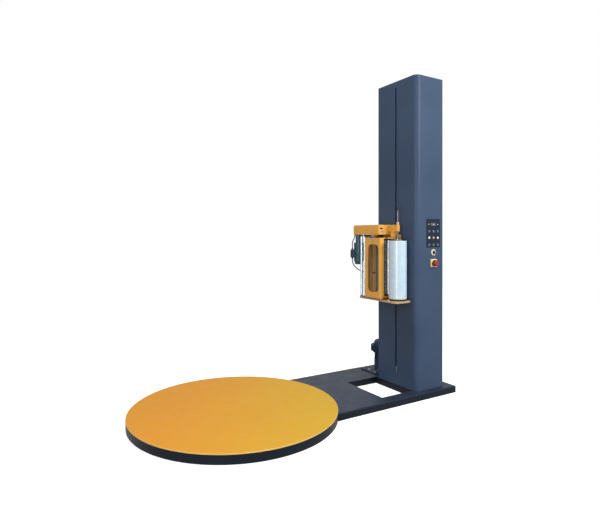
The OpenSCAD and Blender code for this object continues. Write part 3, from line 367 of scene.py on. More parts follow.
def table_paint(paint, painted_lit_tone, worn):
    """Painted turntable with a painted light gradient that makes it lighter and yellower to one side, rubbed
    rings, scrapes left by pallets and a painted highlight along its edge.
    """
    finish = Finish("table_paint", {"Specular IOR Level": 0.2})
    place = finish.spot()
    radius = finish.radius()
    rings = finish.span(finish.noise(finish.along_x(radius * 55.0), 1.0, 4.0, 0.7), 0.52, 0.78)
    rings = rings * finish.cloud(place, 2.4, (0.42, 0.68))
    scrapes = finish.hairlines(finish.spot((1.4, 30.0, 1.0), turn=0.6), (0.62, 0.74))
    across = finish.hairlines(finish.spot((26.0, 1.3, 1.0), turn=0.25), (0.64, 0.76))
    mottle = finish.cloud(place, 1.6, (0.32, 0.68), detail=4.0)
    # Painted light gradient: the paint turns lighter and yellower towards the mast
    across_table = finish.axis(finish.spot(turn=math.radians(31)), "X")
    painted = finish.blend(finish.span(across_table, -0.4, 0.65), shade(paint, 1.0), shade(painted_lit_tone, 1.0))
    painted = finish.blend(mottle * 0.05, painted, shade(paint, 0.4))
    painted = finish.blend(rings * 0.10, painted, shade(paint, 0.62))
    painted = finish.blend((scrapes + across) * 0.07, painted, shade(paint, 0.55))
    # Painted highlight: a pale line along the turntable's edge
    edge = finish.span(radius, HIGHLIGHT_FROM, HIGHLIGHT_TO)
    painted = finish.blend(edge * 0.6, painted, worn)
    finish.set(painted, finish.cloud(place, 12.0, to=(0.46, 0.58)) + rings * 0.12)
    finish.relief(finish.noise(place, 520.0, 2.0), 0.0003, 0.3)


def enamel(name, paint, roughness):
    """Glossy machine enamel over a casting."""
    finish = Finish(name, {"Coat Weight": 0.12, "Coat Roughness": 0.15})
    place = finish.spot()
    painted = finish.two_tone(finish.cloud(place, 16.0, detail=4.0), paint, 0.8, 1.25)
    finish.set(painted, finish.cloud(place, 30.0, to=(roughness - 0.06, roughness + 0.1)))
    finish.relief(finish.noise(place, 150.0, 3.0), 0.0006, 0.45)


def turned_metal(name, metal, roughness):
    """Metal turned or ground about an upright axis, with hairlines round it."""
    finish = Finish(name, {"Metallic": 1.0})
    lines = finish.noise(finish.spot((2.0, 2.0, 260.0)), 6.0, 4.0, 0.65)
    stained = finish.two_tone(finish.cloud(finish.spot(), 18.0, (0.35, 0.75)), metal, 1.0, 0.86)
    finish.set(stained, finish.span(lines, 0.25, 0.75, roughness, roughness + 0.08))


def rolled_steel(name, metal):
    """Zinc-plated steel with cloudy spangle."""
    finish = Finish(name, {"Metallic": 1.0})
    spangled = finish.two_tone(finish.cloud(finish.spot(), 22.0, detail=5.0), metal, 0.78, 1.08)
    grain = finish.noise(finish.spot((160.0, 160.0, 6.0)), 4.0, 3.0)
    finish.set(spangled, finish.span(grain, 0.25, 0.75, 0.26, 0.46))
    finish.relief(grain, 0.0001, 0.3)


def roller_rubber(name, covering, pitch=0.0):
    """Rubber covering with dull film residue, and turned grooves where their pitch is given."""
    finish = Finish(name, {"Specular IOR Level": 0.25})
    place = finish.spot()
    bloom = finish.cloud(finish.spot((3.0, 3.0, 26.0)), 4.0, (0.4, 0.8), detail=4.0)
    finish.set(finish.two_tone(bloom, covering, 0.85, 1.9), finish.cloud(place, 24.0, to=(0.48, 0.66)))
    if pitch:
        finish.relief(finish.grooves(place, 1.0 / pitch / BANDS_PER_SCALE), 0.0008, 0.6)
    else:
        finish.relief(finish.noise(place, 600.0, 2.0), 0.0002, 0.4)


def moulded_plastic(name, tone, roughness, texture=0.35, gloss=0.45):
    """Moulded plastic with a fine spark-eroded texture."""
    finish = Finish(name, {"Specular IOR Level": gloss})
    place = finish.spot()
    tinted = finish.two_tone(finish.cloud(place, 40.0), tone, 0.92, 1.06)
    finish.set(tinted, finish.cloud(place, 90.0, to=(roughness - 0.05, roughness + 0.06)))
    finish.relief(finish.cells(place, 1400.0), 0.0002, texture)


def wound_film(tone, milk, streak, centre):
    """Stretch film on its roll: faint wound layers, milky where air is trapped, ringed on the ends."""
    finish = Finish("stretch_film", {
        "Coat Weight": 1.0,
        "Coat Roughness": 0.18,
        "Subsurface Weight": 0.15,
        "Subsurface Radius": (0.02, 0.03, 0.04),
        "Subsurface Scale": 0.3,
    })
    rings = finish.along_x(finish.radius(centre) * 900.0)
    layers = finish.cloud(rings, 1.0, (0.35, 0.65)) * finish.upward()
    milky = finish.cloud(finish.spot((2.0, 2.0, 5.0), centre), 7.0, (0.35, 0.7), detail=5.0)
    streaks = finish.cloud(finish.spot((6.0, 6.0, 60.0), centre), 3.0, (0.45, 0.75), detail=4.0)
    filmed = finish.blend(milky, shade(tone, 1.02), milk)
    filmed = finish.blend(streaks * 0.25, filmed, streak)
    filmed = finish.blend(layers * 0.5, filmed, shade(tone, 0.55))
    finish.set(filmed, finish.span(milky, 0.0, 1.0, 0.16, 0.30))
    dents = finish.noise(finish.spot(centre=centre), 46.0, 3.0)
    finish.relief(dents + streaks * 0.4, 0.0009, 0.12)


def core_board(tone, centre):
    """Wound board tube with its spiral seam."""
    finish = Finish("core_board", {"Specular IOR Level": 0.2})
    place = finish.spot(centre=centre)
    x, y, z = (finish.axis(place, letter) for letter in "XYZ")
    turn = finish.node("ShaderNodeMath", {"operation": "ARCTAN2"}, {0: y, 1: x})
    ply = finish.node("ShaderNodeMath", {"operation": "FRACT"}, {0: z / 0.09 + turn / (2 * math.pi)})
    seam = finish.span(ply, 0.0, 0.05, 1.0, 0.0)
    fibres = finish.cloud(finish.spot((60.0, 60.0, 14.0)), 5.0, detail=4.0)
    board = finish.two_tone(fibres, tone, 0.82, 1.15)
    finish.set(finish.blend(seam * 0.7, board, shade(tone, 0.5)), finish.span(fibres, 0.0, 1.0, 0.78, 0.92))
    finish.relief(fibres * 0.5 - seam, 0.0004, 0.5)


def dark_glass(tone):
    """Smoked window over the display."""
    finish = Finish("display_glass", {"Coat Weight": 0.9, "Coat Roughness": 0.04})
    smear = finish.cloud(finish.spot((30.0, 30.0, 90.0)), 2.0, (0.4, 0.7), detail=4.0)
    finish.set(finish.two_tone(smear, tone, 0.6, 1.3), finish.span(smear, 0.0, 1.0, 0.06, 0.16))


def lit_mark(name, tone, strength):
    """Glowing segment or lamp, slightly uneven."""
    finish = Finish(name, {"Emission Strength": strength, "Roughness": 0.3})
    lit = finish.two_tone(finish.cloud(finish.spot(), 220.0), tone, 0.9, 1.05)
    finish.set(lit)
    finish.feed(finish.shader.inputs["Emission Color"], lit)


# Modelling bench


def clear_selection():
    if bpy.context.object and bpy.context.object.mode != "OBJECT":
        bpy.ops.object.mode_set(mode="OBJECT")
    bpy.ops.object.select_all(action="DESELECT")


def only(piece):
    """Selects one piece and nothing else."""
    clear_selection()
    piece.select_set(True)
    bpy.context.view_layer.objects.active = piece


def fresh(name, adder, **settings):
    """Adds a primitive with nothing else selected, names it and puts its place into its mesh."""
    clear_selection()
    adder(**settings)
    piece = bpy.context.object
    piece.name = name
    bpy.ops.object.transform_apply(location=True, rotation=True, scale=True)
    return piece


def box(name, low, high):
    """Block between two corners."""
    low, high = Vector(low), Vector(high)
    piece = fresh(name, bpy.ops.mesh.primitive_cube_add, size=1.0)
    piece.data.transform(Matrix.Translation((low + high) / 2) @ Matrix.Diagonal((*(high - low), 1.0)))
    return piece


def pick_faces(piece, test):
    """Goes into edit mode with the faces selected whose normal passes a test."""
    only(piece)
    bpy.ops.object.mode_set(mode="EDIT")
    bpy.ops.mesh.select_mode(type="FACE")
    bpy.ops.mesh.select_all(action="DESELECT")
    bpy.ops.object.mode_set(mode="OBJECT")
    for face in piece.data.polygons:
        face.select = test(face.normal)
    bpy.ops.object.mode_set(mode="EDIT")


def extrude(*offset):
    bpy.ops.mesh.extrude_region_move(TRANSFORM_OT_translate={"value": offset})


def done():
    bpy.ops.object.mode_set(mode="OBJECT")


def apply(piece, kind, **settings):
    """Adds a modifier with its settings and applies it."""
    only(piece)
    modifier = piece.modifiers.new(kind.title(), kind)
    for key, value in settings.items():
        setattr(modifier, key, value)
    bpy.ops.object.modifier_apply(modifier=modifier.name)
    return piece


def ease(piece, width, segments=2, angle=35.0):
    """Rounds a piece's sharp edges, by a width in millimetres."""
    limit = math.radians(angle)
    apply(piece, "BEVEL", width=width * MM, segments=segments, limit_method="ANGLE", angle_limit=limit)
    return soften(piece)


def soften(piece, angle=40.0):
    only(piece)
    bpy.ops.object.shade_smooth_by_angle(angle=math.radians(angle))
    return piece


def turned(name, steps, sides=32):
    """Turned piece about Z: (height, radius) steps, foot to top, each a ring extruded from the last."""
    (low, foot), (high, top) = steps[:2]
    piece = fresh(
        name,
        bpy.ops.mesh.primitive_cone_add,
        vertices=sides,
        radius1=foot,
        radius2=top,
        depth=high - low,
        location=(0, 0, (low + high) / 2),
    )
    pick_faces(piece, lambda normal: normal.z > 0.99)
    for (before, was), (height, radius) in zip(steps[1:], steps[2:]):
        extrude(0, 0, height - before)
        share = radius / was
        bpy.ops.transform.resize(value=(share, share, 1.0), center_override=(0, 0, height))
    done()
    return soften(piece, 30.0)


def cut(piece, cutter):
    """Takes a cutter away from a piece; the cutter goes."""
    apply(piece, "BOOLEAN", operation="DIFFERENCE", object=cutter, solver="EXACT")
    bpy.data.objects.remove(cutter)


def bored(piece, radius, sides=48):
    """Opens an upright bore through a turned piece about Z."""
    low = min(corner[2] for corner in piece.bound_box)
    high = max(corner[2] for corner in piece.bound_box)
    drill = fresh(
        "drill",
        bpy.ops.mesh.primitive_cylinder_add,
        vertices=sides,
        radius=radius,
        depth=(high - low) * 1.2,
        location=(0, 0, (low + high) / 2),
    )
    cut(piece, drill)
    return soften(piece, 30.0)


def put(piece, place, towards=UP, spin=0.0):
    """Moves a piece made about Z at the origin: its foot to a place, its axis towards a direction."""
    turn = Vector(UP).rotation_difference(Vector(towards)).to_matrix().to_4x4()
    piece.data.transform(Matrix.Translation(Vector(place)) @ turn @ Matrix.Rotation(spin, 4, "Z"))
    return piece


def copies(name, pattern, spots):
    """Copies a pattern to each (place, towards, spin) and joins the copies; the pattern goes."""
    made = []
    for place, towards, spin in spots:
        twin = pattern.copy()
        twin.data = pattern.data.copy()
        bpy.context.scene.collection.objects.link(twin)
        made.append(put(twin, place, towards, spin))
    bpy.data.objects.remove(pattern)
    return joined(name, made)


def joined(name, made):
    only(made[0])
    for piece in made:
        piece.select_set(True)
    if len(made) > 1:
        bpy.ops.object.join()
    made[0].name = name
    return made[0]


def ring_spots(centre, radius, degrees, towards):
    """Places round an upright axis, each turned with it."""
    spots = []
    for angle in degrees:
        a = math.radians(angle)
        place = (centre.x + radius * math.cos(a), centre.y + radius * math.sin(a), centre.z)
        spots.append((place, towards, a))
    return spots


def finish_named(name):
    return bpy.data.materials[f"wrapper_{name}"]


SLOT_FINISHES = {"bare_steel": "plated_steel", "motor_paint": "motor_enamel"}


def fit(piece, body, slot, finish=None, replaces=()):
    """Gives a piece its body and its finish (the one named, or else the slot's own), and hides the solids it
    replaces.
    """
    piece.data.materials.clear()
    piece.data.materials.append(finish_named(finish or SLOT_FINISHES.get(slot, slot)))
    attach(piece, body)
    if replaces:
        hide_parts(*replaces)


# Fasteners, made about Z with their seat at the origin; sizes in millimetres


def hex_bolt(radius):
    """Hexagon head on a washer of a radius."""
    size = radius * MM
    washer = turned("washer", [(0, size), (0.14 * size, size), (0.2 * size, 0.94 * size)], 24)
    wide = 0.86 * size
    head = turned("head", [(0.2 * size, wide), (0.75 * size, wide), (0.85 * size, 0.70 * size)], 6)
    ease(head, 0.04 * radius, 1, 50.0)
    return joined("hex_bolt", [washer, head])


def dome_screw(diameter):
    """Low rounded head with a cross recess."""
    size = diameter * MM
    arc = [math.radians(step) for step in range(0, 81, 16)]
    dome = [(size * (0.05 + 0.28 * math.sin(a)), 0.5 * size * math.cos(a)) for a in arc]
    screw = turned("dome_screw", [(0, 0.5 * size)] + dome, 24)
    for turn in (0.0, math.pi / 2):
        slot = box("slot", (-0.3 * size, -0.06 * size, 0.18 * size), (0.3 * size, 0.06 * size, size))
        slot.data.transform(Matrix.Rotation(turn, 4, "Z"))
        cut(screw, slot)
    return soften(screw, 30.0)


def fasten(name, pattern, spots, body):
    """Steel fasteners at their spots."""
    fit(copies(name, pattern, spots), body, "bare_steel")


# Paint shop: every finish, and the solids that keep their own shape


PLATED_NODES = (
    "pivot_post", "roller_brackets", "drive_chain", "floor_bolts", "guide_rails", "table_sprocket",
    "drive_sprocket", "trolley", "motor_pinion", "lift_pulley", "top_pulley",
)
NYLON_NODES = [f"{kind}_roller_{i}" for kind in ("support", "guide") for i in range(1, 5)]
NODES_BY_FINISH = {
    "slate_paint": ("mast_shell", "mast_cap", "mast_rear_panel"),
    "base_paint": ("base_pan", "deck"),
    "plated_steel": PLATED_NODES,
    "roller_nylon": NYLON_NODES,
    "table_paint": ("turntable_plate",),
    "gearmotor_paint": ("gearmotor", "motor_terminal_box"),
    "carriage_paint": ("carriage_frame", "gear_housing", "roller_door"),
    "worn_edge_paint": ("bottom_plate",),
    "motor_enamel": ("stretch_motor", "lift_gearmotor"),
    "black_rubber": ("motor_cable", "lift_belt"),
    "box_grey": ("control_box",),
    "keypad_black": ("keypad_plate",),
    "cream_plastic": ("selector_ring",),
    "black_plastic": ("selector_knob", "core_holder"),
    "yellow_plastic": ("estop_base",),
    "red_plastic": ("estop_head",),
    "roller_rubber": ("press_roller",),
    "gum_rubber": ("prestretch_roller_a",),
    "grooved_rubber": ("prestretch_roller_b",),
    "chrome": ("door_idler", "exit_roller", "guide_idler"),
    "stretch_film": ("film_roll",),
    "core_board": ("film_core",),
    "dull_steel": ("spindle_pin",),
}
KEY_FINISHES = ["key_blue"] * 3 + ["key_light", "key_pink", "key_light"] + ["key_teal"] * 3
BLUE_CAST = (0.68, 0.84, 1.0, 1.0)


class WRAPPER_OT_paint(bpy.types.Operator):
    """Mixes every finish and paints the solids with them"""

    bl_idname = "wrapper.paint"
    bl_label = "Finishes"

    def execute(self, context):
        tone = colours()
        self.paints(tone)
        self.metals_and_rubbers(tone)
        self.plastics(tone)
        roll_centre = box_of("film_roll")[2]
        wound_film(tone.film, tone.milky, tone.streak, roll_centre)
        core_board(tone.board, roll_centre)
        for finish, nodes in NODES_BY_FINISH.items():
            for node in nodes:
                self.coat(node, finish)
        for i, finish in enumerate(KEY_FINISHES):
            self.coat(f"key_{i + 1}", finish)
        return {"FINISHED"}

    def paints(self, tone):
        powder_coat("slate_paint", tone.slate, 0.42, rubbed=0.10, gloss=0.08, lacquer=0.12)
        powder_coat("base_paint", tone.base, 0.34, rubbed=0.45, dust_and_sheen=0.2, gloss=0.2, cast=BLUE_CAST)
        powder_coat("gearmotor_paint", shade(tone.slate, 0.6), 0.44, rubbed=0.08, dust_and_sheen=0.1)
        powder_coat("box_grey", tone.steel, 0.5, gloss=0.4)
        chipped_paint("carriage_paint", tone.carriage, 0.40, tone.steel)
        # Painted highlight in steel grey on the bottom plate's upright edges
        chipped_paint("worn_edge_paint", tone.carriage, 0.40, tone.steel, 0.7)
        table_paint(tone.table, tone.painted_lit_tone, tone.rim)
        enamel("motor_enamel", tone.teal, 0.34)

    def metals_and_rubbers(self, tone):
        groove = dims().groove
        turned_metal("chrome", tone.chrome, 0.42)
        rolled_steel("plated_steel", tone.steel)
        rolled_steel("dull_steel", shade(tone.steel, 0.4))
        roller_rubber("roller_rubber", tone.rubber)
        roller_rubber("grooved_rubber", tone.rubber, groove)
        roller_rubber("gum_rubber", tone.gum, groove)
        roller_rubber("black_rubber", shade(tone.black, 0.6))

    def plastics(self, tone):
        moulded_plastic("roller_nylon", shade(tone.steel, 0.9), 0.45)
        moulded_plastic("black_plastic", tone.black, 0.42)
        moulded_plastic("keypad_black", tone.panel, 0.5, 0.2, 0.15)
        moulded_plastic("cream_plastic", tone.cream, 0.32)
        moulded_plastic("yellow_plastic", tone.yellow, 0.36)
        moulded_plastic("red_plastic", tone.red, 0.26, 0.15)
        for name in sorted(set(KEY_FINISHES)):
            moulded_plastic(name, getattr(tone, name), 0.34, 0.15)
        dark_glass(tone.black)
        lit_mark("display_mark", tone.glow, 0.4)
        lit_mark("lamp_mark", tone.cream, 0.2)

    def coat(self, node, finish):
        NODES[node].data.materials.clear()
        NODES[node].data.materials.append(finish_named(finish))


# Controls on the mast


SEGMENTS = {
    "top": (0.0, 1.0, True),
    "middle": (0.0, 0.0, True),
    "bottom": (0.0, -1.0, True),
    "upper_left": (-1.0, 0.5, False),
    "upper_right": (1.0, 0.5, False),
    "lower_left": (-1.0, -0.5, False),
    "lower_right": (1.0, -0.5, False),
}
LIT = {
    "0": ("top", "bottom", "upper_left", "upper_right", "lower_left", "lower_right"),
    "8": tuple(SEGMENTS),
    "5": ("top", "middle", "bottom", "upper_left", "lower_right"),
}
DISPLAY_DIGITS = "085"
RIDGE_N = 36


def corner_spots(low, high, inset, spin):
    """Spots at the four corners of a plate that faces the operator."""
    xs = (low.x + inset, high.x - inset)
    zs = (low.z + inset, high.z - inset)
    return [((x, low.y, z), TO_OPERATOR, spin) for x in xs for z in zs]


class WRAPPER_OT_keys(bpy.types.Operator):
    """Dished key caps, and the low collars round them"""

    bl_idname = "wrapper.keys"
    bl_label = "Keys"

    def execute(self, context):
        front = box_of("keypad_plate")[0].y
        collars = []
        for index, finish in enumerate(KEY_FINISHES):
            node = f"key_{index + 1}"
            low, high, middle = box_of(node)
            radius = (high.x - low.x) / 2
            deep = high.y - low.y
            dish = [
                (deep - down * MM, radius - inward * MM)
                for down, inward in ((1.2, 0), (0.5, 0.3), (0.1, 1.0), (0, 2.0), (0.3, 4.0))
            ]
            cap = turned(f"{node}_cap", [(0, radius)] + dish + [(deep - 0.6 * MM, 0.2 * radius)], 40)
            put(cap, (middle.x, high.y, middle.z), TO_OPERATOR)
            fit(cap, node, "key_plastic", finish, (node,))
            collars.append(((middle.x, front, middle.z), TO_OPERATOR, 0.0))
        outer, inner = radius + 2.6 * MM, radius + 2.0 * MM
        top = 0.9 * MM
        collar = turned("collar", [(0, outer), (0.5 * MM, outer), (top, inner), (top, 0.5 * radius)], 40)
        bored(collar, radius + 0.4 * MM, 40)
        fit(copies("key_collars", collar, collars), "frame", "black_plastic")
        return {"FINISHED"}


class WRAPPER_OT_display(bpy.types.Operator):
    """Display window with its frame and lit numerals, the lamps beside it and the plate's screws"""

    bl_idname = "wrapper.display"
    bl_label = "Display"

    def execute(self, context):
        low, high, middle = box_of("keypad_plate")
        centre = Vector((middle.x - 4 * MM, low.y, middle.z + 79 * MM))
        self.window(centre)
        self.numerals(centre)
        self.lamps(centre)
        spots = corner_spots(low, high, 9 * MM, 0.4)
        fit(copies("keypad_screws", dome_screw(8), spots), "frame", "black_plastic")
        return {"FINISHED"}

    def window(self, centre):
        half_w, half_h = dims().display_w / 2, dims().display_h / 2
        edge, lip, gap = dims().bezel, 1.0 * MM, 0.5 * MM
        reach = Vector((half_w + edge, 0, half_h + edge))
        bezel = box("display_frame", centre - reach + Vector((0, -lip, 0)), centre + reach)
        pick_faces(bezel, lambda normal: normal.y < -0.9)
        bpy.ops.mesh.inset(thickness=edge)
        extrude(0, 0.8 * lip, 0)
        done()
        ease(bezel, 0.4)
        fit(bezel, "frame", "box_grey", "key_blue")
        size = Vector((half_w - gap, 0, half_h - gap))
        near, deep = Vector((0, 0.6 * MM, 0)), Vector((0, 1.2 * MM, 0))
        glass = box("display_glass", centre - size - near, centre + size + deep)
        ease(glass, 0.5, 3)
        fit(glass, "frame", "black_plastic", "display_glass")

    def numerals(self, centre):
        half, tall, thick, proud, deep = mm((3.4, 5.6, 0.7, 0.7, 0.25))
        bars = []
        for place, digit in enumerate(DISPLAY_DIGITS):
            middle = centre.x + (place - 1) * dims().digit_pitch
            for name in LIT[digit]:
                across, up, flat = SEGMENTS[name]
                spot = Vector((middle + across * half, centre.y - proud, centre.z + up * tall))
                reach = half - thick if flat else tall / 2 - thick
                size = Vector((reach, deep, thick) if flat else (thick, deep, reach))
                bars.append(ease(box(name, spot - size, spot + size), 0.35, 1))
        fit(joined("display_numerals", bars), "frame", "box_grey", "display_mark")

    def lamps(self, centre):
        lens = turned("lens", mm([(0, 4.5), (1.0, 4.5), (2.2, 3.9), (3.0, 2.6), (3.3, 0.8)]), 24)
        out = Vector((dims().lamp_pitch / 2, 0, 0))
        spots = [(centre + side * out, TO_OPERATOR, 0.0) for side in (-1, 1)]
        fit(copies("status_lamps", lens, spots), "frame", "cream_plastic", "lamp_mark")


class WRAPPER_OT_switches(bpy.types.Operator):
    """Knurled rim and pointer of the selector, and the collar of the emergency stop"""

    bl_idname = "wrapper.switches"
    bl_label = "Selector and stop"

    def execute(self, context):
        self.selector()
        self.stop()
        return {"FINISHED"}

    def selector(self):
        low, high, middle = box_of("selector_ring")
        radius = (high.x - low.x) / 2
        ridges = []
        for step in range(RIDGE_N):
            a = 2 * math.pi * step / RIDGE_N
            ridge = ease(box("ridge", mm((-0.9, -0.5, 0)), mm((0.9, 0.7, 4.6))), 0.4)
            out = Vector((math.cos(a), math.sin(a), 0)) * (radius - 0.2 * MM)
            ridge.data.transform(Matrix.Translation(out) @ Matrix.Rotation(a - math.pi / 2, 4, "Z"))
            ridges.append(ridge)
        rim = put(joined("selector_knurl", ridges), (middle.x, high.y, middle.z), TO_OPERATOR)
        fit(rim, "frame", "cream_plastic")
        low, high, middle = box_of("selector_knob")
        top = (high.z - low.z) / 2 - 5 * MM
        mark = box("selector_pointer", mm((-0.9, -0.2, 3)), (0.9 * MM, 0.5 * MM, top))
        ease(mark, 0.3)
        mark.data.transform(Matrix.Translation((middle.x, low.y - 0.2 * MM, middle.z)))
        fit(mark, "selector_knob", "cream_plastic", "key_light")

    def stop(self):
        low, high, middle = box_of("estop_base")
        steps = [(0, 27), (1.2, 27), (2.0, 26), (2.0, 22), (2.4, 21), (2.4, 18)]
        collar = turned("stop_collar", mm(steps), 48)
        bored(collar, 16.6 * MM)
        put(collar, (middle.x, low.y, middle.z), TO_OPERATOR)
        fit(collar, "frame", "black_plastic")
        fasten("stop_screws", dome_screw(6), corner_spots(low, high, 8 * MM, 0.2), "frame")


# Film carriage


# Pre-stretch motor: where its terminal box sits, how far out the lid and the leads are, where a lead ends
TERMINAL_BOX_AT = math.radians(135)
TERMINAL_BOX_OUT = Vector((math.cos(TERMINAL_BOX_AT), math.sin(TERMINAL_BOX_AT), 0))
TERMINAL_LID_OUT = 74 * MM
LEAD_OUT = 61 * MM
LEAD_END_X, LEAD_END_Y = 1524 * MM, 26 * MM
GLAND = 10 * MM
# Gear housing without its spindle arm and boss, the spindle's grip, and the room at the rollers' ends
HOUSING_DEEP = 361 * MM
BOSS_TALL = 14 * MM
GRIP_TALL = 42 * MM
COLLAR_GAP = 2.2 * MM
DOOR_FOOT, DOOR_HEAD = 31.2 * MM, 8.2 * MM


class WRAPPER_OT_film(bpy.types.Operator):
    """Wound film: layered ends, slightly uneven sides and the free edge of the last turn"""

    bl_idname = "wrapper.film"
    bl_label = "Film roll"

    def execute(self, context):
        low, high, middle = box_of("film_roll")
        core_low, core_high, _ = box_of("film_core")
        core = (core_high.x - core_low.x) / 2 + 0.1 * MM
        radius = (high.x - low.x) / 2 - 1.4 * MM
        tall = high.z - low.z
        drifts = mm((0.0, 1.6, 0.5, 2.1, 0.9, 1.4, 0.2, 1.1))
        half = [(0.6 * MM, 0.6 * core)]
        for i, drift in enumerate(drifts):
            half.append((drift, core + (radius - core) * (i + 0.5) / len(drifts)))
        half.append((0.8 * MM, radius - 0.5 * MM))
        level_n = 40
        side = [
            (tall * (i + 0.5) / level_n, radius + 0.35 * MM * math.sin(2.1 * i) * math.sin(0.37 * i))
            for i in range(level_n)
        ]
        head = [(tall - height, ring) for height, ring in reversed(half)]
        roll = turned("wound_film", half + side + head, 96)
        bored(roll, core, 96)
        self.last_turn(roll, radius)
        put(roll, (middle.x, middle.y, low.z))
        fit(roll, "film", "stretch_film", replaces=("film_roll",))
        return {"FINISHED"}

    def last_turn(self, roll, radius):
        """Lets the outer turn grow round the roll, so that its free edge stands proud."""
        edge_at = math.radians(-150)
        for vertex in roll.data.vertices:
            flat = Vector((vertex.co.x, vertex.co.y))
            if flat.length > 0.97 * radius:
                share = ((math.atan2(flat.y, flat.x) - edge_at) / (2 * math.pi)) % 1.0
                flat *= (flat.length + dims().layer * share) / flat.length
                vertex.co.x, vertex.co.y = flat


class WRAPPER_OT_collars(bpy.types.Operator):
    """End collars on the upright rollers"""

    bl_idname = "wrapper.collars"
    bl_label = "Roller collars"

    def execute(self, context):
        plate_top = box_of("carriage_frame")[0].z
        plate_under = box_of("gear_housing")[0].z
        upright = (plate_top + COLLAR_GAP, plate_under - COLLAR_GAP)
        in_door = (plate_top + DOOR_FOOT, box_of("roller_door")[1].z - DOOR_HEAD)
        rollers = (
            ("exit_roller", "exit_roller_spin", 12.0, upright),
            ("guide_idler", "guide_idler_spin", 12.0, upright),
            ("prestretch_roller_a", "prestretch_a_spin", 32.0, upright),
            ("prestretch_roller_b", "prestretch_b_spin", 32.0, upright),
            ("press_roller", "press_roller_spin", 26.0, in_door),
            ("door_idler", "door_idler_spin", 14.0, in_door),
        )
        for node, joint, radius, (low, high) in rollers:
            at = axis_of(joint)
            self.pair(node, (at.x, at.y), radius, low, high)
        return {"FINISHED"}

    def pair(self, node, at, radius, low, high):
        steps = [(0, -1.0), (0.8, 0.6), (9, 0.6), (11, 0.2), (16, 0.2), (16.4, -0.4)]
        collar = turned("collar", mm([(height, radius + proud) for height, proud in steps]), 48)
        bored(collar, (radius - 0.6) * MM)
        ends = [((*at, low), UP, 0.0), ((*at, high), DOWN, 0.0)]
        fit(copies(f"{node}_collars", collar, ends), node, "black_plastic")


class WRAPPER_OT_housing(bpy.types.Operator):
    """Cover plate, bolts, cable slot and angle plate of the gear housing, and the spindle's grip"""

    bl_idname = "wrapper.housing"
    bl_label = "Gear housing"

    def execute(self, context):
        low, high, _ = box_of("gear_housing")
        near = high.y - HOUSING_DEEP
        self.cover(low, high, near)
        self.near_face(low, high, near)
        self.bracket(high, near, low.z)
        self.spindle(high.z)
        return {"FINISHED"}

    def cover(self, low, high, near):
        foot = high.z - BOSS_TALL
        top = foot + dims().lid
        edge = 6 * MM
        lid = box("housing_lid", (low.x + edge, near + edge, foot), (high.x - edge, high.y - edge, top))
        ease(lid, 1.2, 3)
        fit(lid, "carriage", "carriage_paint")
        xs = (low.x + 20 * MM, high.x - 20 * MM)
        ys = [near + 22 * MM + i * (high.y - near - 44 * MM) / 3 for i in range(4)]
        screws = [((x, y, top), UP, 0.3 * i) for x in xs for i, y in enumerate(ys)]
        fasten("lid_screws", dome_screw(12), screws, "carriage")

    def near_face(self, low, high, near):
        level = low.z + 40 * MM
        corner = Vector((low.x, near, level))
        slot = box("cable_slot", corner + Vector(mm((18, -1.5, 8))), corner + Vector(mm((48, 0.5, 22))))
        ease(slot, 6.0, 5, 80.0)
        fit(slot, "carriage", "black_rubber")
        bolt_row = level - 12 * MM
        places = (
            (low.x + 26 * MM, bolt_row, 0.1),
            (low.x + 46 * MM, bolt_row, 0.5),
            (high.x - 26 * MM, level + 20 * MM, 0.2),
            (high.x - 26 * MM, bolt_row, 0.7),
        )
        spots = [((x, near, z), TO_OPERATOR, spin) for x, z, spin in places]
        fasten("housing_bolts", hex_bolt(9), spots, "carriage")

    def bracket(self, high, near, under):
        """Angle plate that hangs from the near face, above the film."""
        left, right = high.x - 82 * MM, high.x - 20 * MM
        front = near - dims().bracket
        plate = box("housing_bracket", (left, front, under - 42 * MM), (right, near, under + 20 * MM))
        ease(plate, 1.2, 3)
        fit(plate, "carriage", "carriage_paint")
        spots = [((x, front, under - 21 * MM), TO_OPERATOR, 0.3) for x in (left + 16 * MM, right - 16 * MM)]
        fasten("bracket_bolts", hex_bolt(7), spots, "carriage")

    def spindle(self, boss_top):
        at = axis_of("film_spin")
        radius, waist = 10.5, 9.6
        steps = [(0, 8), (1.5, radius)]
        for foot in range(3, 38, 5):
            steps += [(foot, radius), (foot + 2, radius), (foot + 2.6, waist), (foot + 4.2, waist)]
        steps += [(39.5, radius), (41, 9.1), (41.6, 4)]
        grip = turned("spindle_grip", mm(steps), 32)
        put(grip, (at.x, at.y, box_of("spindle_pin")[1].z - GRIP_TALL))
        fit(grip, "spindle_pin", "black_plastic")
        nut = turned("arm_nut", mm([(0, 12.5), (8, 12.5), (9, 11)]), 6)
        ease(nut, 0.8, 2, 50.0)
        bored(nut, 6.6 * MM)
        put(nut, (at.x, at.y, boss_top), UP, 0.4)
        fit(nut, "carriage", "bare_steel")


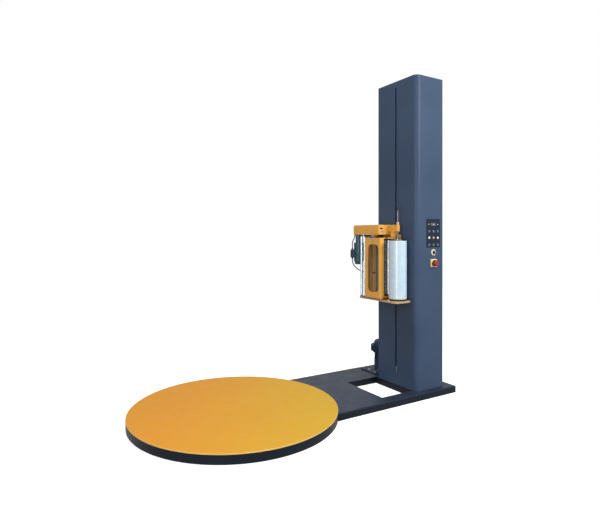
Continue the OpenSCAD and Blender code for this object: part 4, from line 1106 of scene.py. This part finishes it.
class WRAPPER_OT_door(bpy.types.Operator):
    """Latch, axle nuts and hinge caps of the roller door, and the bolt beside its foot"""

    bl_idname = "wrapper.door"
    bl_label = "Roller door"

    def execute(self, context):
        low, high, _ = box_of("roller_door")
        axles = [axis_of("press_roller_spin"), axis_of("door_idler_spin")]
        nuts = [((at.x, at.y, high.z), UP, 0.3) for at in axles]
        fasten("door_axle_nuts", hex_bolt(8), nuts, "door")
        self.latch(low, high)
        hinge = axis_of("door_tilt")
        cap = turned("cap", mm([(0, 7.5), (1.5, 7.5), (3.4, 6), (4.2, 3), (4.4, 1)]), 24)
        out = 8 * MM
        ends = [
            ((hinge.x, low.y - out, hinge.z), TO_OPERATOR, 0.0),
            ((hinge.x, high.y + out, hinge.z), TO_FAR, 0.0),
        ]
        fasten("hinge_caps", cap, ends, "carriage")
        roll = axis_of("film_spin")
        beside_roll = (roll.x - 99 * MM, roll.y + 10 * MM, box_of("carriage_frame")[0].z)
        fasten("plate_bolt", hex_bolt(12), [(beside_roll, UP, 0.2)], "carriage")
        return {"FINISHED"}

    def latch(self, low, high):
        side = (low.y + high.y) / 2
        face = low.x
        front = face - dims().latch
        low_z, high_z = high.z - 27 * MM, high.z + 22 * MM
        plate = box("latch_plate", (front, side - 17 * MM, low_z), (face, side + 17 * MM, high_z))
        ease(plate, 1.0)
        fit(plate, "door", "bare_steel")
        steps = [(0, 5), (7, 5), (8, 8), (13, 9.5), (17, 8.5), (18.5, 5), (18.8, 1)]
        pull = turned("latch_pull", mm(steps), 32)
        put(pull, (front, side, high.z + 7 * MM), TO_TABLE)
        fit(pull, "door", "black_plastic")
        screws = [
            ((front, side + y * MM, high.z + z * MM), TO_TABLE, 0.3) for y in (-12, 12) for z in (-22, -12)
        ]
        fasten("latch_screws", dome_screw(5), screws, "door")
        ys = (low.y + 9 * MM, high.y - 9 * MM)
        zs = (low.z + 34 * MM, high.z - 9 * MM)
        rivets = [((face, y, z), TO_TABLE, 0.0) for y in ys for z in zs]
        fasten("door_rivets", dome_screw(9), rivets, "door")


class WRAPPER_OT_motor(bpy.types.Operator):
    """Fins, flange bolts, terminal lid, glands and leads of the pre-stretch motor"""

    bl_idname = "wrapper.motor"
    bl_label = "Pre-stretch motor"

    def execute(self, context):
        low, high, _ = box_of("stretch_motor")
        at = axis_of("motor_pinion_spin")
        self.fins(at, low.z + 46 * MM, high.z - 90 * MM)
        flange = Vector((at.x, at.y, high.z - 10 * MM))
        bolts = ring_spots(flange, 28 * MM, range(20, 380, 90), DOWN)
        fasten("flange_bolts", hex_bolt(5), bolts, "carriage")
        self.terminal_box(at)
        self.leads(Vector((at.x, at.y, 0)) + TERMINAL_BOX_OUT * LEAD_OUT)
        return {"FINISHED"}

    def fins(self, at, foot, head):
        made = []
        inner, outer, half = mm((45.2, 48.6, 1.2))
        for degrees in range(-170, 190, 12):
            if 92 < degrees % 360 < 178:
                continue
            fin = ease(box("fin", (inner, -half, foot), (outer, half, head)), 0.6)
            turn = Matrix.Rotation(math.radians(degrees), 4, "Z")
            fin.data.transform(Matrix.Translation((at.x, at.y, 0)) @ turn)
            made.append(fin)
        fit(joined("motor_fins", made), "carriage", "motor_paint")

    def terminal_box(self, at):
        low, high, middle = box_of("motor_terminal_box")
        out = TERMINAL_BOX_OUT
        tall = high.z - low.z - 2 * GLAND
        half_w, half_h, thick = 18 * MM, tall / 2 - 4 * MM, 4 * MM
        lid = ease(box("terminal_lid", (-half_w, -half_h, 0), (half_w, half_h, thick)), 1.5, 3)
        spots = [((x * MM, y * tall, thick), UP, 0.5) for x in (-13, 13) for y in (-0.36, 0.36)]
        screws = copies("terminal_lid_screws", dome_screw(5), spots)
        face = Vector((at.x, at.y, middle.z)) + out * TERMINAL_LID_OUT
        turn = Matrix((Vector((-out.y, out.x, 0)), Vector(UP), out)).transposed().to_4x4()
        for piece, slot in ((lid, "black_plastic"), (screws, "bare_steel")):
            piece.data.transform(Matrix.Translation(face) @ turn)
            fit(piece, "carriage", slot)
        nut = turned("nut", mm([(0, 10.5), (7, 10.5), (8, 8.5), (12, 7.4), (13, 6)]), 12)
        bored(nut, 4.6 * MM, 24)
        lead = Vector((at.x, at.y, 0)) + out * LEAD_OUT
        ends = [((lead.x, lead.y, high.z - GLAND), UP, 0.0), ((lead.x, lead.y, low.z + GLAND), DOWN, 0.0)]
        fit(copies("cable_glands", nut, ends), "carriage", "black_plastic")

    def leads(self, start):
        """The upper lead rises to the gear plate; the lower one hangs and ends at the back plate."""
        low, high, _ = box_of("motor_terminal_box")
        plate_under = box_of("gear_housing")[0].z
        top, foot = high.z - GLAND, low.z + GLAND
        rise = [(0, 0, 10), (0, 0, 19), (0, 0, 28), (-2, -2, 62), (6, -8, 95)]
        fall = [(0, 0, -10), (0, 0, -19), (0, 0, -28), (3, -2, -50), (14, -9, -78), (38, -26, -108)]
        fall += [(70, -44, -130), (125, -42, -145), (170, -66, -150)]
        upper = [Vector((start.x, start.y, top)) + Vector(mm(step)) for step in rise]
        upper += [(start.x + 15 * MM, start.y - 17 * MM, plate_under - drop * MM) for drop in (24, 12, 0)]
        lower = [Vector((start.x, start.y, foot)) + Vector(mm(step)) for step in fall]
        lower += [(LEAD_END_X - back * MM, LEAD_END_Y, foot - 150 * MM) for back in (20, 10, 0)]
        made = [self.lead("lead_up", upper), self.lead("lead_down", lower)]
        fit(joined("motor_leads", made), "carriage", "black_rubber", replaces=("motor_cable",))

    def lead(self, name, points):
        curve = bpy.data.curves.new(name, "CURVE")
        curve.dimensions = "3D"
        curve.bevel_depth = dims().lead_d / 2
        curve.bevel_resolution = 5
        curve.use_fill_caps = True
        spline = curve.splines.new("BEZIER")
        spline.bezier_points.add(len(points) - 1)
        for knot, point in zip(spline.bezier_points, points):
            knot.co = point
            knot.handle_left_type = knot.handle_right_type = "AUTO"
        piece = bpy.data.objects.new(name, curve)
        bpy.context.scene.collection.objects.link(piece)
        only(piece)
        bpy.ops.object.convert(target="MESH")
        return soften(bpy.context.object)


# Mast and base


# The mast's slot, from the shell's foot and from its top
SLOT_FOOT, SLOT_HEAD = 100 * MM, 57 * MM
DECK_SCREW_XS = (0.90, 1.16, 1.50, 1.93)
GRILLE_BAR_N = 12
PANEL_ROW_N = 7
TABLE_BOX_TURN = math.radians(150)


class WRAPPER_OT_mast(bpy.types.Operator):
    """Slot trims, and the screws and latches of the rear panel"""

    bl_idname = "wrapper.mast"
    bl_label = "Mast fittings"

    def execute(self, context):
        low, high, _ = box_of("mast_shell")
        self.slot_trims(low.x, low.z + SLOT_FOOT, high.z - SLOT_HEAD)
        self.rear_panel()
        return {"FINISHED"}

    def slot_trims(self, face, foot, head):
        slot_y = box_of("lift_belt")[2].y
        half, wide = dims().slot_w / 2, dims().trim_w
        front, back = face - 1.6 * MM, face + 0.4 * MM
        inside, folded = face + 3.2 * MM, face + 18.2 * MM
        made = []
        for side in (-1, 1):
            edge = slot_y + side * half
            near, far = sorted((edge - side * 3 * MM, edge + side * wide))
            trim = box("trim", (front, near, foot - wide), (back, far, head + wide))
            made.append(ease(trim, 0.9, 3))
            near, far = sorted((edge, edge + side * 2 * MM))
            made.append(box("fold", (inside, near, foot + 70 * MM), (folded, far, head)))
        for z in (foot - wide, head):
            bar = box("bar", (front, slot_y - half, z), (back, slot_y + half, z + wide))
            made.append(ease(bar, 0.9, 3))
        fit(joined("slot_trim", made), "frame", "slate_paint")

    def rear_panel(self):
        low, high, _ = box_of("mast_rear_panel")
        tall = high.z - low.z
        inset = 7 * MM
        levels = [low.z + inset + (tall - 2 * inset) * i / (PANEL_ROW_N - 1) for i in range(PANEL_ROW_N)]
        ys = (low.y + inset, high.y - inset)
        spots = [((high.x, y, z), TO_BACK, 0.2 * i) for y in ys for i, z in enumerate(levels)]
        fasten("panel_screws", dome_screw(9), spots, "frame")
        knob = turned("latch", mm([(0, 15), (1.5, 15), (3, 13.5), (3, 9), (1.6, 8.5), (1.6, 2)]), 32)
        bar = ease(box("bar", mm((-1.6, -7, 1.4)), mm((1.6, 7, 4))), 0.5)
        latch = joined("latch", [knob, bar])
        places = [
            ((high.x, high.y - 45 * MM, low.z + tall * share), TO_BACK, 0.0) for share in (0.2, 0.5, 0.8)
        ]
        fit(copies("panel_latches", latch, places), "frame", "black_plastic")


class WRAPPER_OT_deck(bpy.types.Operator):
    """Countersunk screws of the deck"""

    bl_idname = "wrapper.deck"
    bl_label = "Deck fittings"

    def execute(self, context):
        low, high, _ = box_of("deck")
        screw = turned("screw", mm([(0, 9), (0.4, 9), (0.7, 8.4), (0.7, 4), (0.1, 3.6)]), 24)
        ys = (low.y + 26 * MM, high.y - 26 * MM)
        spots = [((x, y, high.z), UP, 0.0) for y in ys for x in DECK_SCREW_XS]
        fit(copies("deck_screws", screw, spots), "frame", "slate_paint", "base_paint")
        return {"FINISHED"}


class WRAPPER_OT_gearmotor(bpy.types.Operator):
    """Flange bolts, cowl grille, terminal lid and gland of the table's gearmotor"""

    bl_idname = "wrapper.gearmotor"
    bl_label = "Table gearmotor"

    def execute(self, context):
        low, high, _ = box_of("gearmotor")
        at = axis_of("drive_sprocket_spin")
        plate_top = Vector((at.x, at.y, low.z + 10 * MM))
        bolts = ring_spots(plate_top, 84 * MM, [45 * (i + 0.5) for i in range(8)], UP)
        fasten("gearbox_bolts", hex_bolt(6), bolts, "frame")
        self.grille(at, high.z)
        self.terminal_box(at, high.z)
        return {"FINISHED"}

    def grille(self, at, top):
        made = [turned("hub", mm([(0, 14), (0.8, 14), (1.4, 12), (1.4, 2)]), 32)]
        for i in range(GRILLE_BAR_N):
            bar = ease(box("bar", mm((16, -2.2, -0.2)), mm((47, 2.2, 1.0))), 1.0)
            bar.data.transform(Matrix.Rotation(2 * math.pi * i / GRILLE_BAR_N, 4, "Z"))
            made.append(bar)
        grille = put(joined("cowl_grille", made), (at.x, at.y, top))
        fit(grille, "frame", "black_plastic")

    def terminal_box(self, at, top):
        turn = Matrix.Translation((at.x, at.y, top - 83 * MM)) @ Matrix.Rotation(TABLE_BOX_TURN, 4, "Z")
        lid = ease(box("gearmotor_lid", mm((101, -34, -30)), mm((105, 34, 30))), 1.6, 3)
        spots = [(mm((105, y, z)), TO_BACK, 0.3) for y in (-28, 28) for z in (-24, 24)]
        screws = copies("gearmotor_lid_screws", dome_screw(7), spots)
        steps = [(0, 13), (9, 13), (10, 10.5), (17, 9.5), (18, 7), (18.3, 2)]
        gland = put(turned("gearmotor_gland", mm(steps), 12), mm((84, -40, -14)), TO_OPERATOR)
        for piece in (lid, screws, gland):
            piece.data.transform(turn)
        fit(lid, "frame", "slate_paint", "gearmotor_paint")
        fit(screws, "frame", "bare_steel")
        fit(gland, "frame", "black_plastic")


# Stage


SENSOR_W = 36.0
FLOOR_REACH = 9.0
# Each lamp's place, what it looks at, its size and its power
LAMPS = {
    "key_light": ((2.9, -4.9, 3.8), (1.5, -0.4, 1.4), (2.6, 2.6), 262.0),
    "fill_light": ((-3.6, -3.4, 1.8), (0.6, 0.0, 0.8), (2.0, 2.0), 26.0),
    "top_light": ((0.2, -0.2, 5.0), (0.2, 0.0, 0.0), (3.2, 3.0), 68.0),
    "strip_light": ((-2.6, -3.0, 1.7), (1.5, -0.4, 1.5), (0.5, 3.2), 54.0),
}


def amount(label, about, value, **limits):
    return FloatProperty(name=label, description=about, default=value, **limits)


class WrapperStage(bpy.types.PropertyGroup):
    """Camera and light, as the photograph was taken."""

    lens: amount("Lens", "Focal length on a 36 mm wide sensor", 28.55, min=1.0, unit="CAMERA")
    yaw: amount("Yaw", "Turn of the camera from +Y towards +X", math.radians(31.17), subtype="ANGLE")
    place: FloatVectorProperty(
        name="Place",
        description="Where the camera stands",
        subtype="TRANSLATION",
        unit="LENGTH",
        default=(-1.5519, -3.5112, 1.4422),
    )
    shift_x: amount("Shift X", "Sideways shift of the picture", 0.0068)
    shift_y: amount("Shift Y", "Upward shift of the picture", -0.0468)
    floor: colour("Floor", "Colour of the floor", (0.93, 0.93, 0.93))
    sky: amount("Sky", "Strength of the light all round", 0.52, min=0.0)
    mirrored: amount("Mirrored", "White share of a mirrored sky", 0.45, min=0.0, max=1.0, subtype="FACTOR")


class WRAPPER_OT_stage(bpy.types.Operator):
    """Pale floor, soft studio light and the camera"""

    bl_idname = "wrapper.stage"
    bl_label = "Stage"

    def execute(self, context):
        stage = context.scene.wrapper_stage
        self.camera(context.scene, stage)
        self.floor(stage.floor)
        self.sky(context.scene, stage)
        for name, (place, aim, size, power) in LAMPS.items():
            self.lamp(name, place, aim, size, power)
        context.scene.view_settings.view_transform = "Standard"
        return {"FINISHED"}

    def camera(self, scene, stage):
        camera = bpy.data.objects.new("camera", bpy.data.cameras.new("camera"))
        scene.collection.objects.link(camera)
        camera.location = stage.place
        camera.rotation_euler = (math.radians(90), 0.0, -stage.yaw)
        camera.data.lens = stage.lens
        camera.data.sensor_fit = "HORIZONTAL"
        camera.data.sensor_width = SENSOR_W
        camera.data.shift_x = stage.shift_x
        camera.data.shift_y = stage.shift_y
        scene.camera = camera

    def floor(self, pale):
        floor = fresh("floor", bpy.ops.mesh.primitive_plane_add, size=2 * FLOOR_REACH)
        finish = Finish("floor", {"Specular IOR Level": 0.15, "Emission Strength": 0.62})
        finish.set(finish.two_tone(finish.cloud(finish.spot(), 0.6), pale, 0.99, 1.01), 0.85)
        floor.data.materials.append(finish.material)
        floor.visible_diffuse = floor.visible_glossy = False

    def sky(self, scene, stage):
        """White behind the part; as a light it is dimmer, and darkest from below."""
        world = bpy.data.worlds.new("studio")
        world.use_nodes = True
        tree = NodeTree(world.node_tree)
        height = tree.axis(tree.node("ShaderNodeTexCoord", output="Generated"), "Z")
        light = tree.span(height, -0.5, 0.6, 0.35 * stage.sky, stage.sky)
        in_mirror = tree.node("ShaderNodeLightPath", output="Is Glossy Ray")
        behind = tree.node("ShaderNodeLightPath", output="Is Camera Ray")
        background = world.node_tree.nodes["Background"]
        background.inputs["Color"].default_value = WHITE
        strength = tree.span(in_mirror * stage.mirrored + behind, 0.0, 1.0, light, 1.0)
        tree.feed(background.inputs["Strength"], strength)
        scene.world = world

    def lamp(self, name, place, aim, size, power):
        light = bpy.data.lights.new(name, "AREA")
        light.shape = "RECTANGLE"
        light.size, light.size_y = size
        light.energy = power
        lamp = bpy.data.objects.new(name, light)
        bpy.context.scene.collection.objects.link(lamp)
        lamp.location = place
        towards = Vector(aim) - Vector(place)
        lamp.rotation_euler = towards.to_track_quat("-Z", "Y").to_euler()


# Sidebar and run


class WRAPPER_PT_sidebar(bpy.types.Panel):
    """Lists the wrapper's pieces in the order they are made"""

    bl_idname = "WRAPPER_PT_sidebar"
    bl_label = "Pallet wrapper"
    bl_space_type = "VIEW_3D"
    bl_region_type = "UI"
    bl_category = "Wrapper"

    def draw(self, context):
        for operator in OPERATORS:
            self.layout.operator(operator.bl_idname)
        scene = context.scene
        for group in (scene.wrapper_sizes, scene.wrapper_colours, scene.wrapper_stage):
            rows = self.layout.box()
            for name in group.__annotations__:
                rows.prop(group, name)


GROUPS = (WrapperSizes, WrapperColours, WrapperStage)
OPERATORS = (
    WRAPPER_OT_stage,
    WRAPPER_OT_paint,
    WRAPPER_OT_keys,
    WRAPPER_OT_display,
    WRAPPER_OT_switches,
    WRAPPER_OT_film,
    WRAPPER_OT_collars,
    WRAPPER_OT_housing,
    WRAPPER_OT_door,
    WRAPPER_OT_motor,
    WRAPPER_OT_mast,
    WRAPPER_OT_deck,
    WRAPPER_OT_gearmotor,
)
CLASSES = GROUPS + OPERATORS + (WRAPPER_PT_sidebar,)


def register():
    for cls in CLASSES:
        bpy.utils.register_class(cls)
    bpy.types.Scene.wrapper_sizes = PointerProperty(type=WrapperSizes)
    bpy.types.Scene.wrapper_colours = PointerProperty(type=WrapperColours)
    bpy.types.Scene.wrapper_stage = PointerProperty(type=WrapperStage)


def unregister():
    del bpy.types.Scene.wrapper_stage
    del bpy.types.Scene.wrapper_colours
    del bpy.types.Scene.wrapper_sizes
    for cls in reversed(CLASSES):
        bpy.utils.unregister_class(cls)


def main():
    register()
    for operator in OPERATORS:
        group, name = operator.bl_idname.split(".")
        getattr(getattr(bpy.ops, group), name)()


if __name__ == "__main__":
    main()
